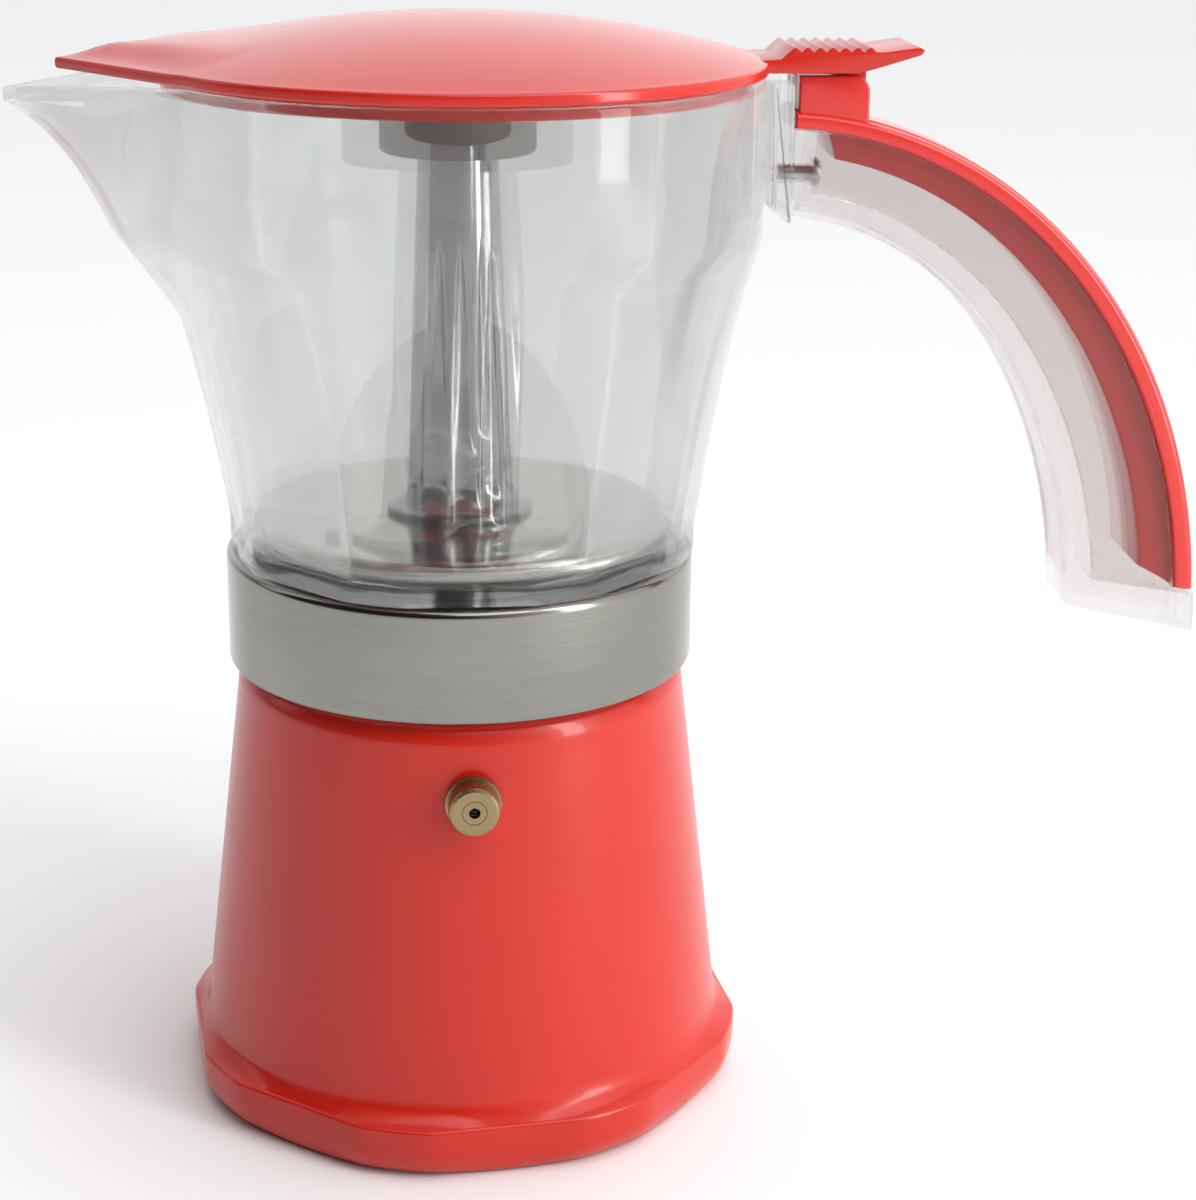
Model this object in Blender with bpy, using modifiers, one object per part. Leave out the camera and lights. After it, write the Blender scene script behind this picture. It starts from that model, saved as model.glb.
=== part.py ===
"""Moka pot with a clear jug: a red aluminium boiler, a steel band, a clear upper jug with a
fluted spout column, a hinged red lid and an arched handle.

Frame: +Z up, +X towards the handle, -X towards the spout, -Y the front with the safety valve.
The origin is the centre of the boiler's flat underside. Lengths are in metres.
"""

import math

import bmesh
import bpy
from mathutils import Vector

MM = 0.001
GAP = 0.3 * MM  # clearance between neighbouring pieces

SIDES = 48  # points round the boiler's, the jug's and the lid's rings
TURNED_SIDES = 32
FILLET_CHORDS = 2
FACETS = 8
FACET_STEP = 360 / FACETS
FACET_HALF_ANGLE = 15.0  # half the angle a flat takes; the rest is the rounded corner

# Boiler
FOOT_FLAT = 51.9 * MM
FOOT_UNDER_RADIUS = FOOT_FLAT - 2.6 * MM
FOOT_BEVEL = 6.0 * MM
FOOT_HEIGHT = 10.0 * MM
FOOT_TURN = 6.6  # degrees that the foot's front flat is turned towards the handle
LEDGE_RISE = 2.4 * MM
CONE_LOW_RADIUS = FOOT_FLAT - 2.1 * MM
CONE_TOP_RADIUS = 41.9 * MM
CONE_TOP_Z = 78.5 * MM
SHOULDER_Z = CONE_TOP_Z + 5.1 * MM
SHOULDER_ROUND = 4.0 * MM
NECK_RADIUS = CONE_TOP_RADIUS - 5.4 * MM
NECK_TOP_Z = SHOULDER_Z + 10.4 * MM
MOUTH_RADIUS = NECK_RADIUS - 2.9 * MM
BOILER_WALL = 2.6 * MM
BOILER_FLOOR = 3.6 * MM

# Safety valve, on the boiler's front
VALVE_Z = CONE_TOP_Z - 8.5 * MM
VALVE_HEX_FLATS = 9.0 * MM
VALVE_HEX_DEPTH = 4.2 * MM
VALVE_COLLAR_RADIUS = 5.0 * MM
VALVE_COLLAR_DEPTH = 1.2 * MM
VALVE_THREAD_RADIUS = 3.5 * MM
VALVE_THREAD_LENGTH = 7.0 * MM
VALVE_BORE_RADIUS = 2.2 * MM
VALVE_SEAT_RADIUS = 1.1 * MM
VALVE_SEAT_DEPTH = 1.6 * MM
VALVE_BALL_RADIUS = 1.7 * MM
VALVE_TRAVEL = 0.8 * MM
SPRING_RADIUS = 1.45 * MM
SPRING_WIRE = 0.22 * MM
SPRING_TURNS = 4
RETAINER_DEPTH = 1.4 * MM
RETAINER_HOLE = 1.0 * MM
WASHER_RADIUS = 5.4 * MM
WASHER_DEPTH = 1.0 * MM

# Funnel and its strainer
FUNNEL_RIM_RADIUS = NECK_RADIUS - 0.6 * MM
FUNNEL_RADIUS = MOUTH_RADIUS - 3.2 * MM
FUNNEL_WALL = 0.9 * MM
FUNNEL_DEPTH = 19.0 * MM
FUNNEL_CONE_DEPTH = 9.0 * MM
STEM_RADIUS = 4.8 * MM
STEM_WALL = 1.0 * MM
STEM_CLEAR = 5.0 * MM
STRAINER_THICKNESS = 0.9 * MM
STRAINER_HOLE = 1.1 * MM
STRAINER_HOLES = ((6, 10.0 * MM), (12, 20.0 * MM))  # rings of holes, as (count, radius)

# Gasket and filter plate, in the underside of the thread base
GASKET_INNER_RADIUS = NECK_RADIUS - 8.0 * MM
GASKET_THICKNESS = 2.8 * MM
FILTER_RADIUS = NECK_RADIUS - 1.1 * MM
FILTER_THICKNESS = 1.0 * MM
FILTER_HOLE = 1.0 * MM
FILTER_HOLES = ((6, 9.0 * MM), (12, 18.0 * MM))

# Thread base and band
BASE_WALL_RADIUS = CONE_TOP_RADIUS + 0.2 * MM
BASE_TOP_Z = NECK_TOP_Z + 9.4 * MM
BASE_WEB = 3.4 * MM
BASE_RECESS_RADIUS = NECK_RADIUS - 5.5 * MM
BASE_RECESS_DEPTH = 1.4 * MM
BAND_SHEET = 0.9 * MM
BAND_RADIUS = BASE_WALL_RADIUS + BAND_SHEET + GAP
BAND_LIP = 2.6 * MM
BAND_LIP_ROUND = 1.5 * MM
BAND_LOW_Z = SHOULDER_Z + 0.5 * MM

# Jug
JUG_LOW_Z = BASE_TOP_Z + 1.6 * MM
JUG_FLAT = BASE_WALL_RADIUS + GAP
JUG_SKIRT = 5.2 * MM
JUG_TOP_RADIUS = 54.6 * MM
JUG_WAIST_Z = JUG_LOW_Z + 58.0 * MM
JUG_RIM_Z = JUG_LOW_Z + 86.0 * MM
JUG_WALL = 2.2 * MM
JUG_FLOOR = 2.0 * MM
BEAK_HALF_ANGLE = 32.0
BEAK_REACH = 24.4 * MM
BEAK_LOW_Z = JUG_RIM_Z - 43.0 * MM
BEAK_DIP = 2.6 * MM
PAD_REACH = JUG_TOP_RADIUS + 4.4 * MM
PAD_HALF_WIDTH = 9.0 * MM
PAD_LOW_Z = JUG_RIM_Z - 26.5 * MM

# Plate, seals and column in the jug
SEAL_THICKNESS = 0.9 * MM
LOWER_SEAL_INNER_RADIUS = BASE_RECESS_RADIUS
LOWER_SEAL_RADIUS = JUG_FLAT - 3.8 * MM
UPPER_SEAL_RADIUS = JUG_FLAT - 7.4 * MM
UPPER_SEAL_INNER_RADIUS = UPPER_SEAL_RADIUS - 5.0 * MM
PLATE_RADIUS = JUG_FLAT - 4.2 * MM
PLATE_THICKNESS = 2.8 * MM
PLATE_ROUND = 1.9 * MM
COLUMN_FOOT_RADIUS = 13.5 * MM
COLUMN_LOW_RADIUS = 9.7 * MM
COLUMN_TOP_RADIUS = 6.8 * MM
COLUMN_TOP_Z = JUG_RIM_Z - 5.0 * MM
COLUMN_BORE = 3.4 * MM
SPIGOT_RADIUS = 5.6 * MM
FLUTES = 12
FLUTE_DEPTH = 0.9 * MM
FLUTE_RADIUS = 1.5 * MM
FLUTE_TOP_Z = COLUMN_TOP_Z - 31.0 * MM

# Lid and splash cap
LID_RADIUS = JUG_TOP_RADIUS + GAP
LID_EDGE = 2.0 * MM
LID_RISE = 7.6 * MM
LID_WALL = 1.8 * MM
LID_BEAK_REACH = 14.9 * MM
LID_LIP_HEIGHT = 2.6 * MM
LID_LIP_WALL = 1.6 * MM
LID_LIP_CLEARANCE = 0.5 * MM
LIP_GAP_START = 40.0 * MM  # the lip is cut away towards the spout from here
LIP_GAP_HALF_WIDTH = 15.0 * MM
CAP_RADIUS = 14.0 * MM
CAP_LOW_Z = JUG_RIM_Z - 14.0 * MM
CAP_WALL = 1.8 * MM
CAP_ROUND = 3.0 * MM
BOSS_RADIUS = 5.0 * MM
SCREW_RADIUS = 1.5 * MM
SCREW_HEAD_RADIUS = 2.6 * MM
SCREW_HEAD_DEPTH = 1.6 * MM
SCREW_LENGTH = 6.0 * MM
SCREW_SIDES = 12

# Handle
ARCH_X = JUG_TOP_RADIUS + 1.4 * MM
ARCH_Z = JUG_RIM_Z - 103.0 * MM
ARCH_INNER = (58.5 * MM, 78.0 * MM)  # half-axes of the inner ellipse, in x and z
ARCH_OUTER = (84.0 * MM, 97.0 * MM)  # half-axes of the outer ellipse, in x and z
ARCH_INNER_START = 3.0
ARCH_OUTER_START = -1.0
ARCH_STEPS = 22
HANDLE_HALF_WIDTH = 8.2 * MM
HANDLE_WALL = 2.1 * MM
CHANNEL_FLOOR = 0.22  # share of the handle's depth
INSERT_CAP = 0.17  # share of the handle's depth
INSERT_TONGUE = 0.42  # share of the handle's depth
INSERT_CORNER = 1.9 * MM
INSERT_TAPER = 0.45 * MM  # how far the strip's sides draw in at its two ends
TONGUE_ENDS = (0.075, 0.93)  # where the tongue is at its full depth, along the arch
TONGUE_STUB = 0.04  # share of its depth that the tongue keeps beyond them

# Hinge, at the handle's top
PIN_X = PAD_REACH + 10.9 * MM
PIN_Z = JUG_RIM_Z - 3.0 * MM
PIN_RADIUS = 1.2 * MM
PIN_CLEARANCE = 0.1 * MM
KNUCKLE_RADIUS = 2.8 * MM
BLOCK_HALF_WIDTH = 7.0 * MM
BLOCK_START_X = PAD_REACH + 1.0 * MM
LUG_HALF_WIDTH = 3.2 * MM
TAB_HALF_WIDTH = 9.0 * MM
TAB_TOP_Z = JUG_RIM_Z + 5.0 * MM
TAB_TIP_X = PIN_X + 11.9 * MM
TAB_RIBS = 6

# Sizes that follow from those above
FOOT_SLOPE_Z = FOOT_HEIGHT + LEDGE_RISE
LID_LOW_Z = JUG_RIM_Z + GAP
FUNNEL_RIM_Z = NECK_TOP_Z + GAP
GASKET_Z = FUNNEL_RIM_Z + FUNNEL_WALL + GAP
FILTER_Z = GASKET_Z + GASKET_THICKNESS + GAP
BASE_BORE_RADIUS = NECK_RADIUS + GAP
LOWER_SEAL_Z = BASE_TOP_Z + GAP
JUG_FLOOR_Z = JUG_LOW_Z + JUG_FLOOR
UPPER_SEAL_Z = JUG_FLOOR_Z + GAP
PLATE_Z = UPPER_SEAL_Z + SEAL_THICKNESS + GAP
PLATE_TOP_Z = PLATE_Z + PLATE_THICKNESS
COLUMN_Z = PLATE_TOP_Z + GAP

COLOURS = {
    "red_paint": ((0.68, 0.03, 0.03), 0.35, 0.0),
    "red_plastic": ((0.78, 0.05, 0.05), 0.3, 0.0),
    "clear_plastic": ((0.86, 0.89, 0.88), 0.08, 0.0),
    "grey_plastic": ((0.55, 0.55, 0.55), 0.5, 0.0),
    "brushed_steel": ((0.62, 0.62, 0.60), 0.35, 1.0),
    "aluminium": ((0.75, 0.75, 0.75), 0.25, 1.0),
    "brass": ((0.42, 0.33, 0.18), 0.4, 1.0),
    "steel": ((0.6, 0.6, 0.6), 0.3, 1.0),
    "rubber": ((0.75, 0.73, 0.68), 0.7, 0.0),
}


# ---------------------------------------------------------------- scene and materials


def clear_scene():
    for thing in list(bpy.data.objects):
        bpy.data.objects.remove(thing, do_unlink=True)


def new_collection(name):
    collection = bpy.data.collections.new(name)
    bpy.context.scene.collection.children.link(collection)
    return collection


def material(name):
    found = bpy.data.materials.get(name)
    if found:
        return found
    colour, roughness, metallic = COLOURS[name]
    made = bpy.data.materials.new(name)
    made.use_nodes = True
    shader = made.node_tree.nodes["Principled BSDF"]
    shader.inputs["Base Color"].default_value = (*colour, 1)
    shader.inputs["Roughness"].default_value = roughness
    shader.inputs["Metallic"].default_value = metallic
    return made


def finish(obj, collection, finish_name, smooth_angle=35):
    """Gives the piece its material, shades it and puts it in its collection."""
    collection.objects.link(obj)
    obj.data.materials.append(material(finish_name))
    obj.data.shade_smooth()
    obj.data.set_sharp_from_angle(angle=math.radians(smooth_angle))
    return obj


def object_from(name, bm):
    bmesh.ops.recalc_face_normals(bm, faces=bm.faces)
    mesh = bpy.data.meshes.new(name)
    bm.to_mesh(mesh)
    bm.free()
    return bpy.data.objects.new(name, mesh)


def apply_modifiers(obj):
    """Replaces the object's mesh with its evaluated one, in the same place."""
    bpy.context.view_layer.update()
    graph = bpy.context.evaluated_depsgraph_get()
    mesh = bpy.data.meshes.new_from_object(obj.evaluated_get(graph))
    obj.modifiers.clear()
    obj.data = mesh


# ---------------------------------------------------------------- outlines


def rounded(points):
    """Outline through (r, z, fillet) points, with each fillet drawn as an arc of chords."""
    outline = []
    count = len(points)
    for index, (r, z, fillet) in enumerate(points):
        here = Vector((r, z))
        if not fillet:
            outline.append(here)
            continue
        before = Vector(points[index - 1][:2]) - here
        after = Vector(points[(index + 1) % count][:2]) - here
        half = before.angle(after) / 2
        reach = min(fillet / math.tan(half), before.length * 0.49, after.length * 0.49)
        start, end = here + before.normalized() * reach, here + after.normalized() * reach
        centre = here + (before.normalized() + after.normalized()).normalized() * (
            reach / math.cos(half)
        )
        for step in range(FILLET_CHORDS + 1):
            chord = start.lerp(end, step / FILLET_CHORDS) - centre
            outline.append(centre + chord.normalized() * (start - centre).length)
    return outline


def turned(name, points, collection, finish_name, on_axis=False, steps=TURNED_SIDES):
    """A turned piece: a profile that runs down its outer side, screwed a full turn about Z."""
    outline = rounded(points)
    mesh = bpy.data.meshes.new(name)
    edges = [(i, i + 1) for i in range(len(outline) - 1)]
    if not on_axis:
        edges.append((len(outline) - 1, 0))
    mesh.from_pydata([(p.x, 0, p.y) for p in outline], edges, [])
    obj = bpy.data.objects.new(name, mesh)
    collection.objects.link(obj)
    screw = obj.modifiers.new("Turn", "SCREW")
    screw.axis = "Z"
    screw.steps = screw.render_steps = steps
    screw.use_merge_vertices = True
    screw.merge_threshold = 1e-5
    screw.use_smooth_shade = True
    apply_modifiers(obj)
    collection.objects.unlink(obj)
    return finish(obj, collection, finish_name)


def loft(name, rings, closed=False):
    """A body skinned over rings of equal count. Its ends are capped, or joined where closed."""
    bm = bmesh.new()
    rows = [[bm.verts.new(point) for point in ring] for ring in rings]
    pairs = list(zip(rows, rows[1:])) + ([(rows[-1], rows[0])] if closed else [])
    for low, high in pairs:
        for i in range(len(low)):
            j = (i + 1) % len(low)
            bm.faces.new((low[i], low[j], high[j], high[i]))
    if not closed:
        bm.faces.new(rows[0])
        bm.faces.new(rows[-1])
    return object_from(name, bm)


def prism(name, outline_xz, half_width, y=0.0):
    """A flat outline in X and Z, as thick as twice half_width along Y."""
    bm = bmesh.new()
    face = bm.faces.new([bm.verts.new((x, y - half_width, z)) for x, z in outline_xz])
    grown = bmesh.ops.extrude_face_region(bm, geom=[face])
    moved = [item for item in grown["geom"] if isinstance(item, bmesh.types.BMVert)]
    bmesh.ops.translate(bm, vec=(0, 2 * half_width, 0), verts=moved)
    return object_from(name, bm)


def box_outline(low_x, high_x, low_z, high_z):
    return [(low_x, low_z), (high_x, low_z), (high_x, high_z), (low_x, high_z)]


def cylinder(name, radius, start, end, sides=24):
    """A cylinder from one point to another."""
    start, end = Vector(start), Vector(end)
    bm = bmesh.new()
    bmesh.ops.create_cone(
        bm, cap_ends=True, segments=sides, radius1=radius, radius2=radius, depth=(end - start).length
    )
    turn = (end - start).to_track_quat("Z", "Y").to_matrix().to_4x4()
    bmesh.ops.transform(bm, matrix=turn, verts=bm.verts)
    bmesh.ops.translate(bm, vec=(start + end) / 2, verts=bm.verts)
    return object_from(name, bm)


def combine(target, tool, operation, cutters):
    """Cuts or joins one mesh with another, and keeps the tool as a hidden helper."""
    cutters.objects.link(tool)
    tool.hide_render = True
    tool.display_type = "WIRE"
    linked = bool(target.users_collection)
    if not linked:
        cutters.objects.link(target)
    boolean = target.modifiers.new(operation.title(), "BOOLEAN")
    boolean.operation = operation
    boolean.object = tool
    boolean.solver = "EXACT"
    apply_modifiers(target)
    if not linked:
        cutters.objects.unlink(target)
    return target


# ---------------------------------------------------------------- rings


def ring_angles():
    """Azimuths round Z in degrees, from -Y towards +X; one lies at each corner and at the spout."""
    return [i * 360 / SIDES for i in range(SIDES)]


def around(azimuth, radius, z):
    angle = math.radians(azimuth)
    return Vector((radius * math.sin(angle), -radius * math.cos(angle), z))


def facet_radius(azimuth, flat):
    """Distance to an eight-sided outline with cut corners, whose flats lie flat from the axis."""
    off = (azimuth + FACET_STEP / 2) % FACET_STEP - FACET_STEP / 2
    return flat / math.cos(math.radians(min(abs(off), FACET_HALF_ANGLE)))


def blend_ring(flat, radius, share, z, turn=0.0):
    """A ring between the eight-sided outline, at share 0, and a circle, at share 1."""
    return [
        around(a + turn, facet_radius(a, flat) * (1 - share) + radius * share, z)
        for a in ring_angles()
    ]


def smoothstep(value):
    value = min(max(value, 0.0), 1.0)
    return value * value * (3 - 2 * value)


# ---------------------------------------------------------------- boiler and valve


def cone_radius(z):
    share = (z - FOOT_SLOPE_Z) / (CONE_TOP_Z - FOOT_SLOPE_Z)
    return CONE_LOW_RADIUS + (CONE_TOP_RADIUS - CONE_LOW_RADIUS) * share


def boiler_profile():
    """Round part of the boiler, as (radius, z), from the foot's ledge up and down the inside."""
    shoulder = [
        (
            CONE_TOP_RADIUS - SHOULDER_ROUND * (1 - math.cos(math.radians(a))),
            CONE_TOP_Z + (SHOULDER_Z - CONE_TOP_Z) * math.sin(math.radians(a)),
        )
        for a in (0, 22.5, 45, 67.5, 90)
    ]
    inner_low = cone_radius(FOOT_SLOPE_Z) - BOILER_WALL
    return [
        (CONE_LOW_RADIUS, FOOT_SLOPE_Z),
        *shoulder,
        (NECK_RADIUS, SHOULDER_Z),
        (NECK_RADIUS, NECK_TOP_Z),
        (MOUTH_RADIUS, NECK_TOP_Z),
        (MOUTH_RADIUS, SHOULDER_Z - BOILER_WALL),
        (CONE_TOP_RADIUS - BOILER_WALL - SHOULDER_ROUND / 2, SHOULDER_Z - BOILER_WALL),
        (cone_radius(CONE_TOP_Z - BOILER_WALL) - BOILER_WALL, CONE_TOP_Z - BOILER_WALL),
        (inner_low, FOOT_SLOPE_Z),
        (inner_low - BOILER_FLOOR, BOILER_FLOOR),
    ]


def make_boiler(parts, cutters):
    rings = [
        blend_ring(FOOT_FLAT, FOOT_UNDER_RADIUS, 1, 0, FOOT_TURN),
        blend_ring(FOOT_FLAT, FOOT_UNDER_RADIUS, 0, FOOT_BEVEL, FOOT_TURN),
        blend_ring(FOOT_FLAT, FOOT_UNDER_RADIUS, 0, FOOT_HEIGHT, FOOT_TURN),
    ]
    rings += [
        [around(a + FOOT_TURN, radius, z) for a in ring_angles()] for radius, z in boiler_profile()
    ]
    boiler = loft("boiler", rings)
    hole = VALVE_THREAD_RADIUS + GAP
    cutter = cylinder("valve_hole", hole, (0, -60 * MM, VALVE_Z), (0, -30 * MM, VALVE_Z), 20)
    combine(boiler, cutter, "DIFFERENCE", cutters)
    return finish(boiler, parts, "red_paint")


def valve_wall():
    """Distance from the axis to the plane that the valve's collar is seated on."""
    return cone_radius(VALVE_Z - VALVE_COLLAR_RADIUS) + GAP


def washer_face():
    """How far inside the collar's plane the boiler's curved inner wall lets a washer lie flat."""
    narrowest = cone_radius(VALVE_Z + WASHER_RADIUS) - BOILER_WALL
    return math.sqrt(narrowest**2 - WASHER_RADIUS**2) - 2 * GAP - valve_wall()


def valve_turned(name, points, parts, finish_name, on_axis=False, steps=20):
    """A turned piece whose axis is the valve's: its z runs outwards from the boiler's wall."""
    obj = turned(name, points, parts, finish_name, on_axis, steps)
    for vertex in obj.data.vertices:
        x, y, z = vertex.co
        vertex.co = (x, -valve_wall() - z, y + VALVE_Z)
    return obj


def make_valve(parts, cutters):
    inside = -VALVE_THREAD_LENGTH
    outside = VALVE_COLLAR_DEPTH + VALVE_HEX_DEPTH
    body = valve_turned(
        "valve_body",
        [
            (VALVE_BORE_RADIUS, outside, 0),
            (VALVE_HEX_FLATS / 2, outside, 0.6 * MM),
            (VALVE_HEX_FLATS / 2, VALVE_COLLAR_DEPTH, 0),
            (VALVE_COLLAR_RADIUS, VALVE_COLLAR_DEPTH, 0),
            (VALVE_COLLAR_RADIUS, 0, 0),
            (VALVE_THREAD_RADIUS, 0, 0),
            (VALVE_THREAD_RADIUS, inside, 0),
            (VALVE_SEAT_RADIUS, inside, 0),
            (VALVE_SEAT_RADIUS, inside + VALVE_SEAT_DEPTH, 0),
            (VALVE_BORE_RADIUS, inside + VALVE_SEAT_DEPTH, 0),
        ],
        parts,
        "brass",
        steps=24,
    )
    seat = inside + VALVE_SEAT_DEPTH + GAP
    centre = seat + VALVE_BALL_RADIUS
    ball = [
        (
            VALVE_BALL_RADIUS * math.sin(math.radians(a)),
            centre + VALVE_BALL_RADIUS * math.cos(math.radians(a)),
            0,
        )
        for a in range(0, 181, 20)
    ]
    valve_turned("valve_poppet", ball, parts, "steel", on_axis=True, steps=16)
    spring_start = centre + VALVE_BALL_RADIUS + VALVE_TRAVEL + GAP
    retainer_start = outside - RETAINER_DEPTH
    make_spring(parts, spring_start, retainer_start - GAP)
    valve_turned(
        "valve_retainer",
        [
            (RETAINER_HOLE, outside, 0),
            (VALVE_BORE_RADIUS - GAP / 3, outside, 0),
            (VALVE_BORE_RADIUS - GAP / 3, retainer_start, 0),
            (RETAINER_HOLE, retainer_start, 0),
        ],
        parts,
        "brass",
    )
    wall_inside = washer_face()
    valve_turned(
        "valve_washer",
        [
            (VALVE_THREAD_RADIUS + GAP, wall_inside, 0),
            (WASHER_RADIUS, wall_inside, 0),
            (WASHER_RADIUS, wall_inside - WASHER_DEPTH, 0),
            (VALVE_THREAD_RADIUS + GAP, wall_inside - WASHER_DEPTH, 0),
        ],
        parts,
        "steel",
    )
    return body


def make_spring(parts, start, end):
    """A coil about the valve's axis, between two distances out from the boiler's wall."""
    length = end - start - 2 * SPRING_WIRE
    curve = bpy.data.curves.new("valve_spring", "CURVE")
    curve.dimensions = "3D"
    curve.bevel_depth = SPRING_WIRE
    curve.bevel_resolution = 1
    curve.use_fill_caps = True
    spline = curve.splines.new("POLY")
    count = SPRING_TURNS * 12 + 1
    spline.points.add(count - 1)
    for i in range(count):
        angle = 2 * math.pi * i / 12
        along = start + SPRING_WIRE + length * i / (count - 1)
        x, z = SPRING_RADIUS * math.cos(angle), SPRING_RADIUS * math.sin(angle)
        spline.points[i].co = (x, -valve_wall() - along, VALVE_Z + z, 1)
    spring = bpy.data.objects.new("valve_spring", curve)
    parts.objects.link(spring)
    curve.materials.append(material("steel"))
    return spring


# ---------------------------------------------------------------- funnel, gasket and filter


def make_funnel(parts):
    top = FUNNEL_RIM_Z + FUNNEL_WALL
    low = top - FUNNEL_DEPTH
    cone_low = low - FUNNEL_CONE_DEPTH
    stem_low = BOILER_FLOOR + STEM_CLEAR
    inner, bore = FUNNEL_RADIUS - FUNNEL_WALL, STEM_RADIUS - STEM_WALL
    ledge = inner - 1.5 * MM
    turned(
        "funnel",
        [
            (inner, top, 0),
            (FUNNEL_RIM_RADIUS, top, 0),
            (FUNNEL_RIM_RADIUS, FUNNEL_RIM_Z, 0),
            (FUNNEL_RADIUS, FUNNEL_RIM_Z, 0),
            (FUNNEL_RADIUS, low, 1.5 * MM),
            (STEM_RADIUS, cone_low, 1.5 * MM),
            (STEM_RADIUS, stem_low, 0),
            (bore, stem_low, 0),
            (bore, cone_low, 0),
            (ledge, low + FUNNEL_WALL, 0),
            (inner, low + FUNNEL_WALL, 0),
        ],
        parts,
        "aluminium",
    )
    return low + FUNNEL_WALL + GAP


def perforated_disc(name, radius, z, thickness, rings, hole, parts, cutters, finish_name):
    """A disc with rings of round holes about one in the middle."""
    disc = cylinder(name, radius, (0, 0, z), (0, 0, z + thickness), TURNED_SIDES)
    bm = bmesh.new()
    places = [(0.0, 0.0)]
    for count, ring_radius in rings:
        places += [
            (ring_radius * math.cos(2 * math.pi * i / count), ring_radius * math.sin(2 * math.pi * i / count))
            for i in range(count)
        ]
    for x, y in places:
        made = bmesh.ops.create_cone(
            bm, cap_ends=True, segments=8, radius1=hole, radius2=hole, depth=4 * thickness
        )
        bmesh.ops.translate(bm, vec=(x, y, z + thickness / 2), verts=made["verts"])
    combine(disc, object_from(name + "_holes", bm), "DIFFERENCE", cutters)
    return finish(disc, parts, finish_name)


def make_gasket(parts):
    high = GASKET_Z + GASKET_THICKNESS
    outer = BASE_BORE_RADIUS - GAP
    turned(
        "gasket",
        [
            (GASKET_INNER_RADIUS, high, 0),
            (outer, high, 0),
            (outer, GASKET_Z, 0),
            (GASKET_INNER_RADIUS, GASKET_Z, 0),
        ],
        parts,
        "rubber",
    )


# ---------------------------------------------------------------- collector


def make_thread_base(parts):
    web_low = BASE_TOP_Z - BASE_WEB
    hole = SPIGOT_RADIUS + GAP
    turned(
        "thread_base",
        [
            (hole, BASE_TOP_Z, 0),
            (BASE_WALL_RADIUS - BAND_LIP_ROUND, BASE_TOP_Z, 0),
            (BASE_WALL_RADIUS, BASE_TOP_Z - BAND_LIP_ROUND, 0),
            (BASE_WALL_RADIUS, BAND_LOW_Z + GAP, 0),
            (BASE_BORE_RADIUS, BAND_LOW_Z + GAP, 0),
            (BASE_BORE_RADIUS, web_low, 0),
            (BASE_RECESS_RADIUS, web_low, 0),
            (hole, web_low + BASE_RECESS_DEPTH, 0),
        ],
        parts,
        "aluminium",
    )


def make_band(parts):
    inner = BAND_RADIUS - BAND_SHEET
    top = BASE_TOP_Z + GAP + BAND_SHEET
    turned(
        "band",
        [
            (BAND_RADIUS - BAND_LIP, top, 0),
            (BAND_RADIUS, top, BAND_LIP_ROUND),
            (BAND_RADIUS, BAND_LOW_Z, 0),
            (inner, BAND_LOW_Z, 0),
            (inner, top - BAND_LIP_ROUND, 0),
            (inner - BAND_LIP_ROUND * 0.7, top - BAND_SHEET, 0),
            (BAND_RADIUS - BAND_LIP, top - BAND_SHEET, 0),
        ],
        parts,
        "brushed_steel",
    )


def make_seal(name, inner, outer, z, parts):
    high = z + SEAL_THICKNESS
    turned(
        name,
        [(inner, high, 0), (outer, high, 0), (outer, z, 0), (inner, z, 0)],
        parts,
        "rubber",
    )


def make_plate(parts):
    hole = SPIGOT_RADIUS + GAP
    turned(
        "collector_plate",
        [
            (hole, PLATE_TOP_Z, 0),
            (PLATE_RADIUS, PLATE_TOP_Z, PLATE_ROUND),
            (PLATE_RADIUS, PLATE_Z, 0),
            (hole, PLATE_Z, 0),
        ],
        parts,
        "aluminium",
    )


def make_column(parts, cutters):
    neck_z = COLUMN_Z + 5.0 * MM
    spigot_low = BASE_TOP_Z - BASE_WEB + BASE_RECESS_DEPTH
    column = turned(
        "column",
        [
            (COLUMN_BORE, COLUMN_TOP_Z, 0),
            (COLUMN_TOP_RADIUS, COLUMN_TOP_Z, 0.8 * MM),
            (COLUMN_LOW_RADIUS, neck_z, 3 * MM),
            (COLUMN_FOOT_RADIUS, COLUMN_Z + 0.9 * MM, 0),
            (COLUMN_FOOT_RADIUS, COLUMN_Z, 0),
            (SPIGOT_RADIUS, COLUMN_Z, 0),
            (SPIGOT_RADIUS, spigot_low, 0),
            (COLUMN_BORE, spigot_low, 0),
        ],
        parts,
        "aluminium",
    )
    lean = (COLUMN_LOW_RADIUS - COLUMN_TOP_RADIUS) / (COLUMN_TOP_Z - neck_z)
    for i in range(FLUTES):
        azimuth = (i + 0.5) * 360 / FLUTES
        low_radius = COLUMN_LOW_RADIUS + FLUTE_RADIUS - FLUTE_DEPTH
        rise = FLUTE_TOP_Z - neck_z
        high_radius = low_radius - lean * rise + FLUTE_DEPTH * 1.1
        cutter = cylinder(
            f"flute_{i}",
            FLUTE_RADIUS,
            around(azimuth, low_radius, neck_z + 1.5 * MM),
            around(azimuth, high_radius, FLUTE_TOP_Z),
            8,
        )
        combine(column, cutter, "DIFFERENCE", cutters)


# ---------------------------------------------------------------- jug


def jug_outline(z):
    """(radius, roundness) of the jug's outside at a height. Roundness goes from 0, eight-sided."""
    skirt_z = JUG_LOW_Z + JUG_SKIRT
    if z <= skirt_z:
        return JUG_FLAT, 0.0
    share = min((z - skirt_z) / (JUG_WAIST_Z - skirt_z), 1.0)
    radius = JUG_FLAT + (JUG_TOP_RADIUS - JUG_FLAT) * (0.62 * share + 0.38 * share * share)
    return radius, smoothstep(share)


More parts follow.
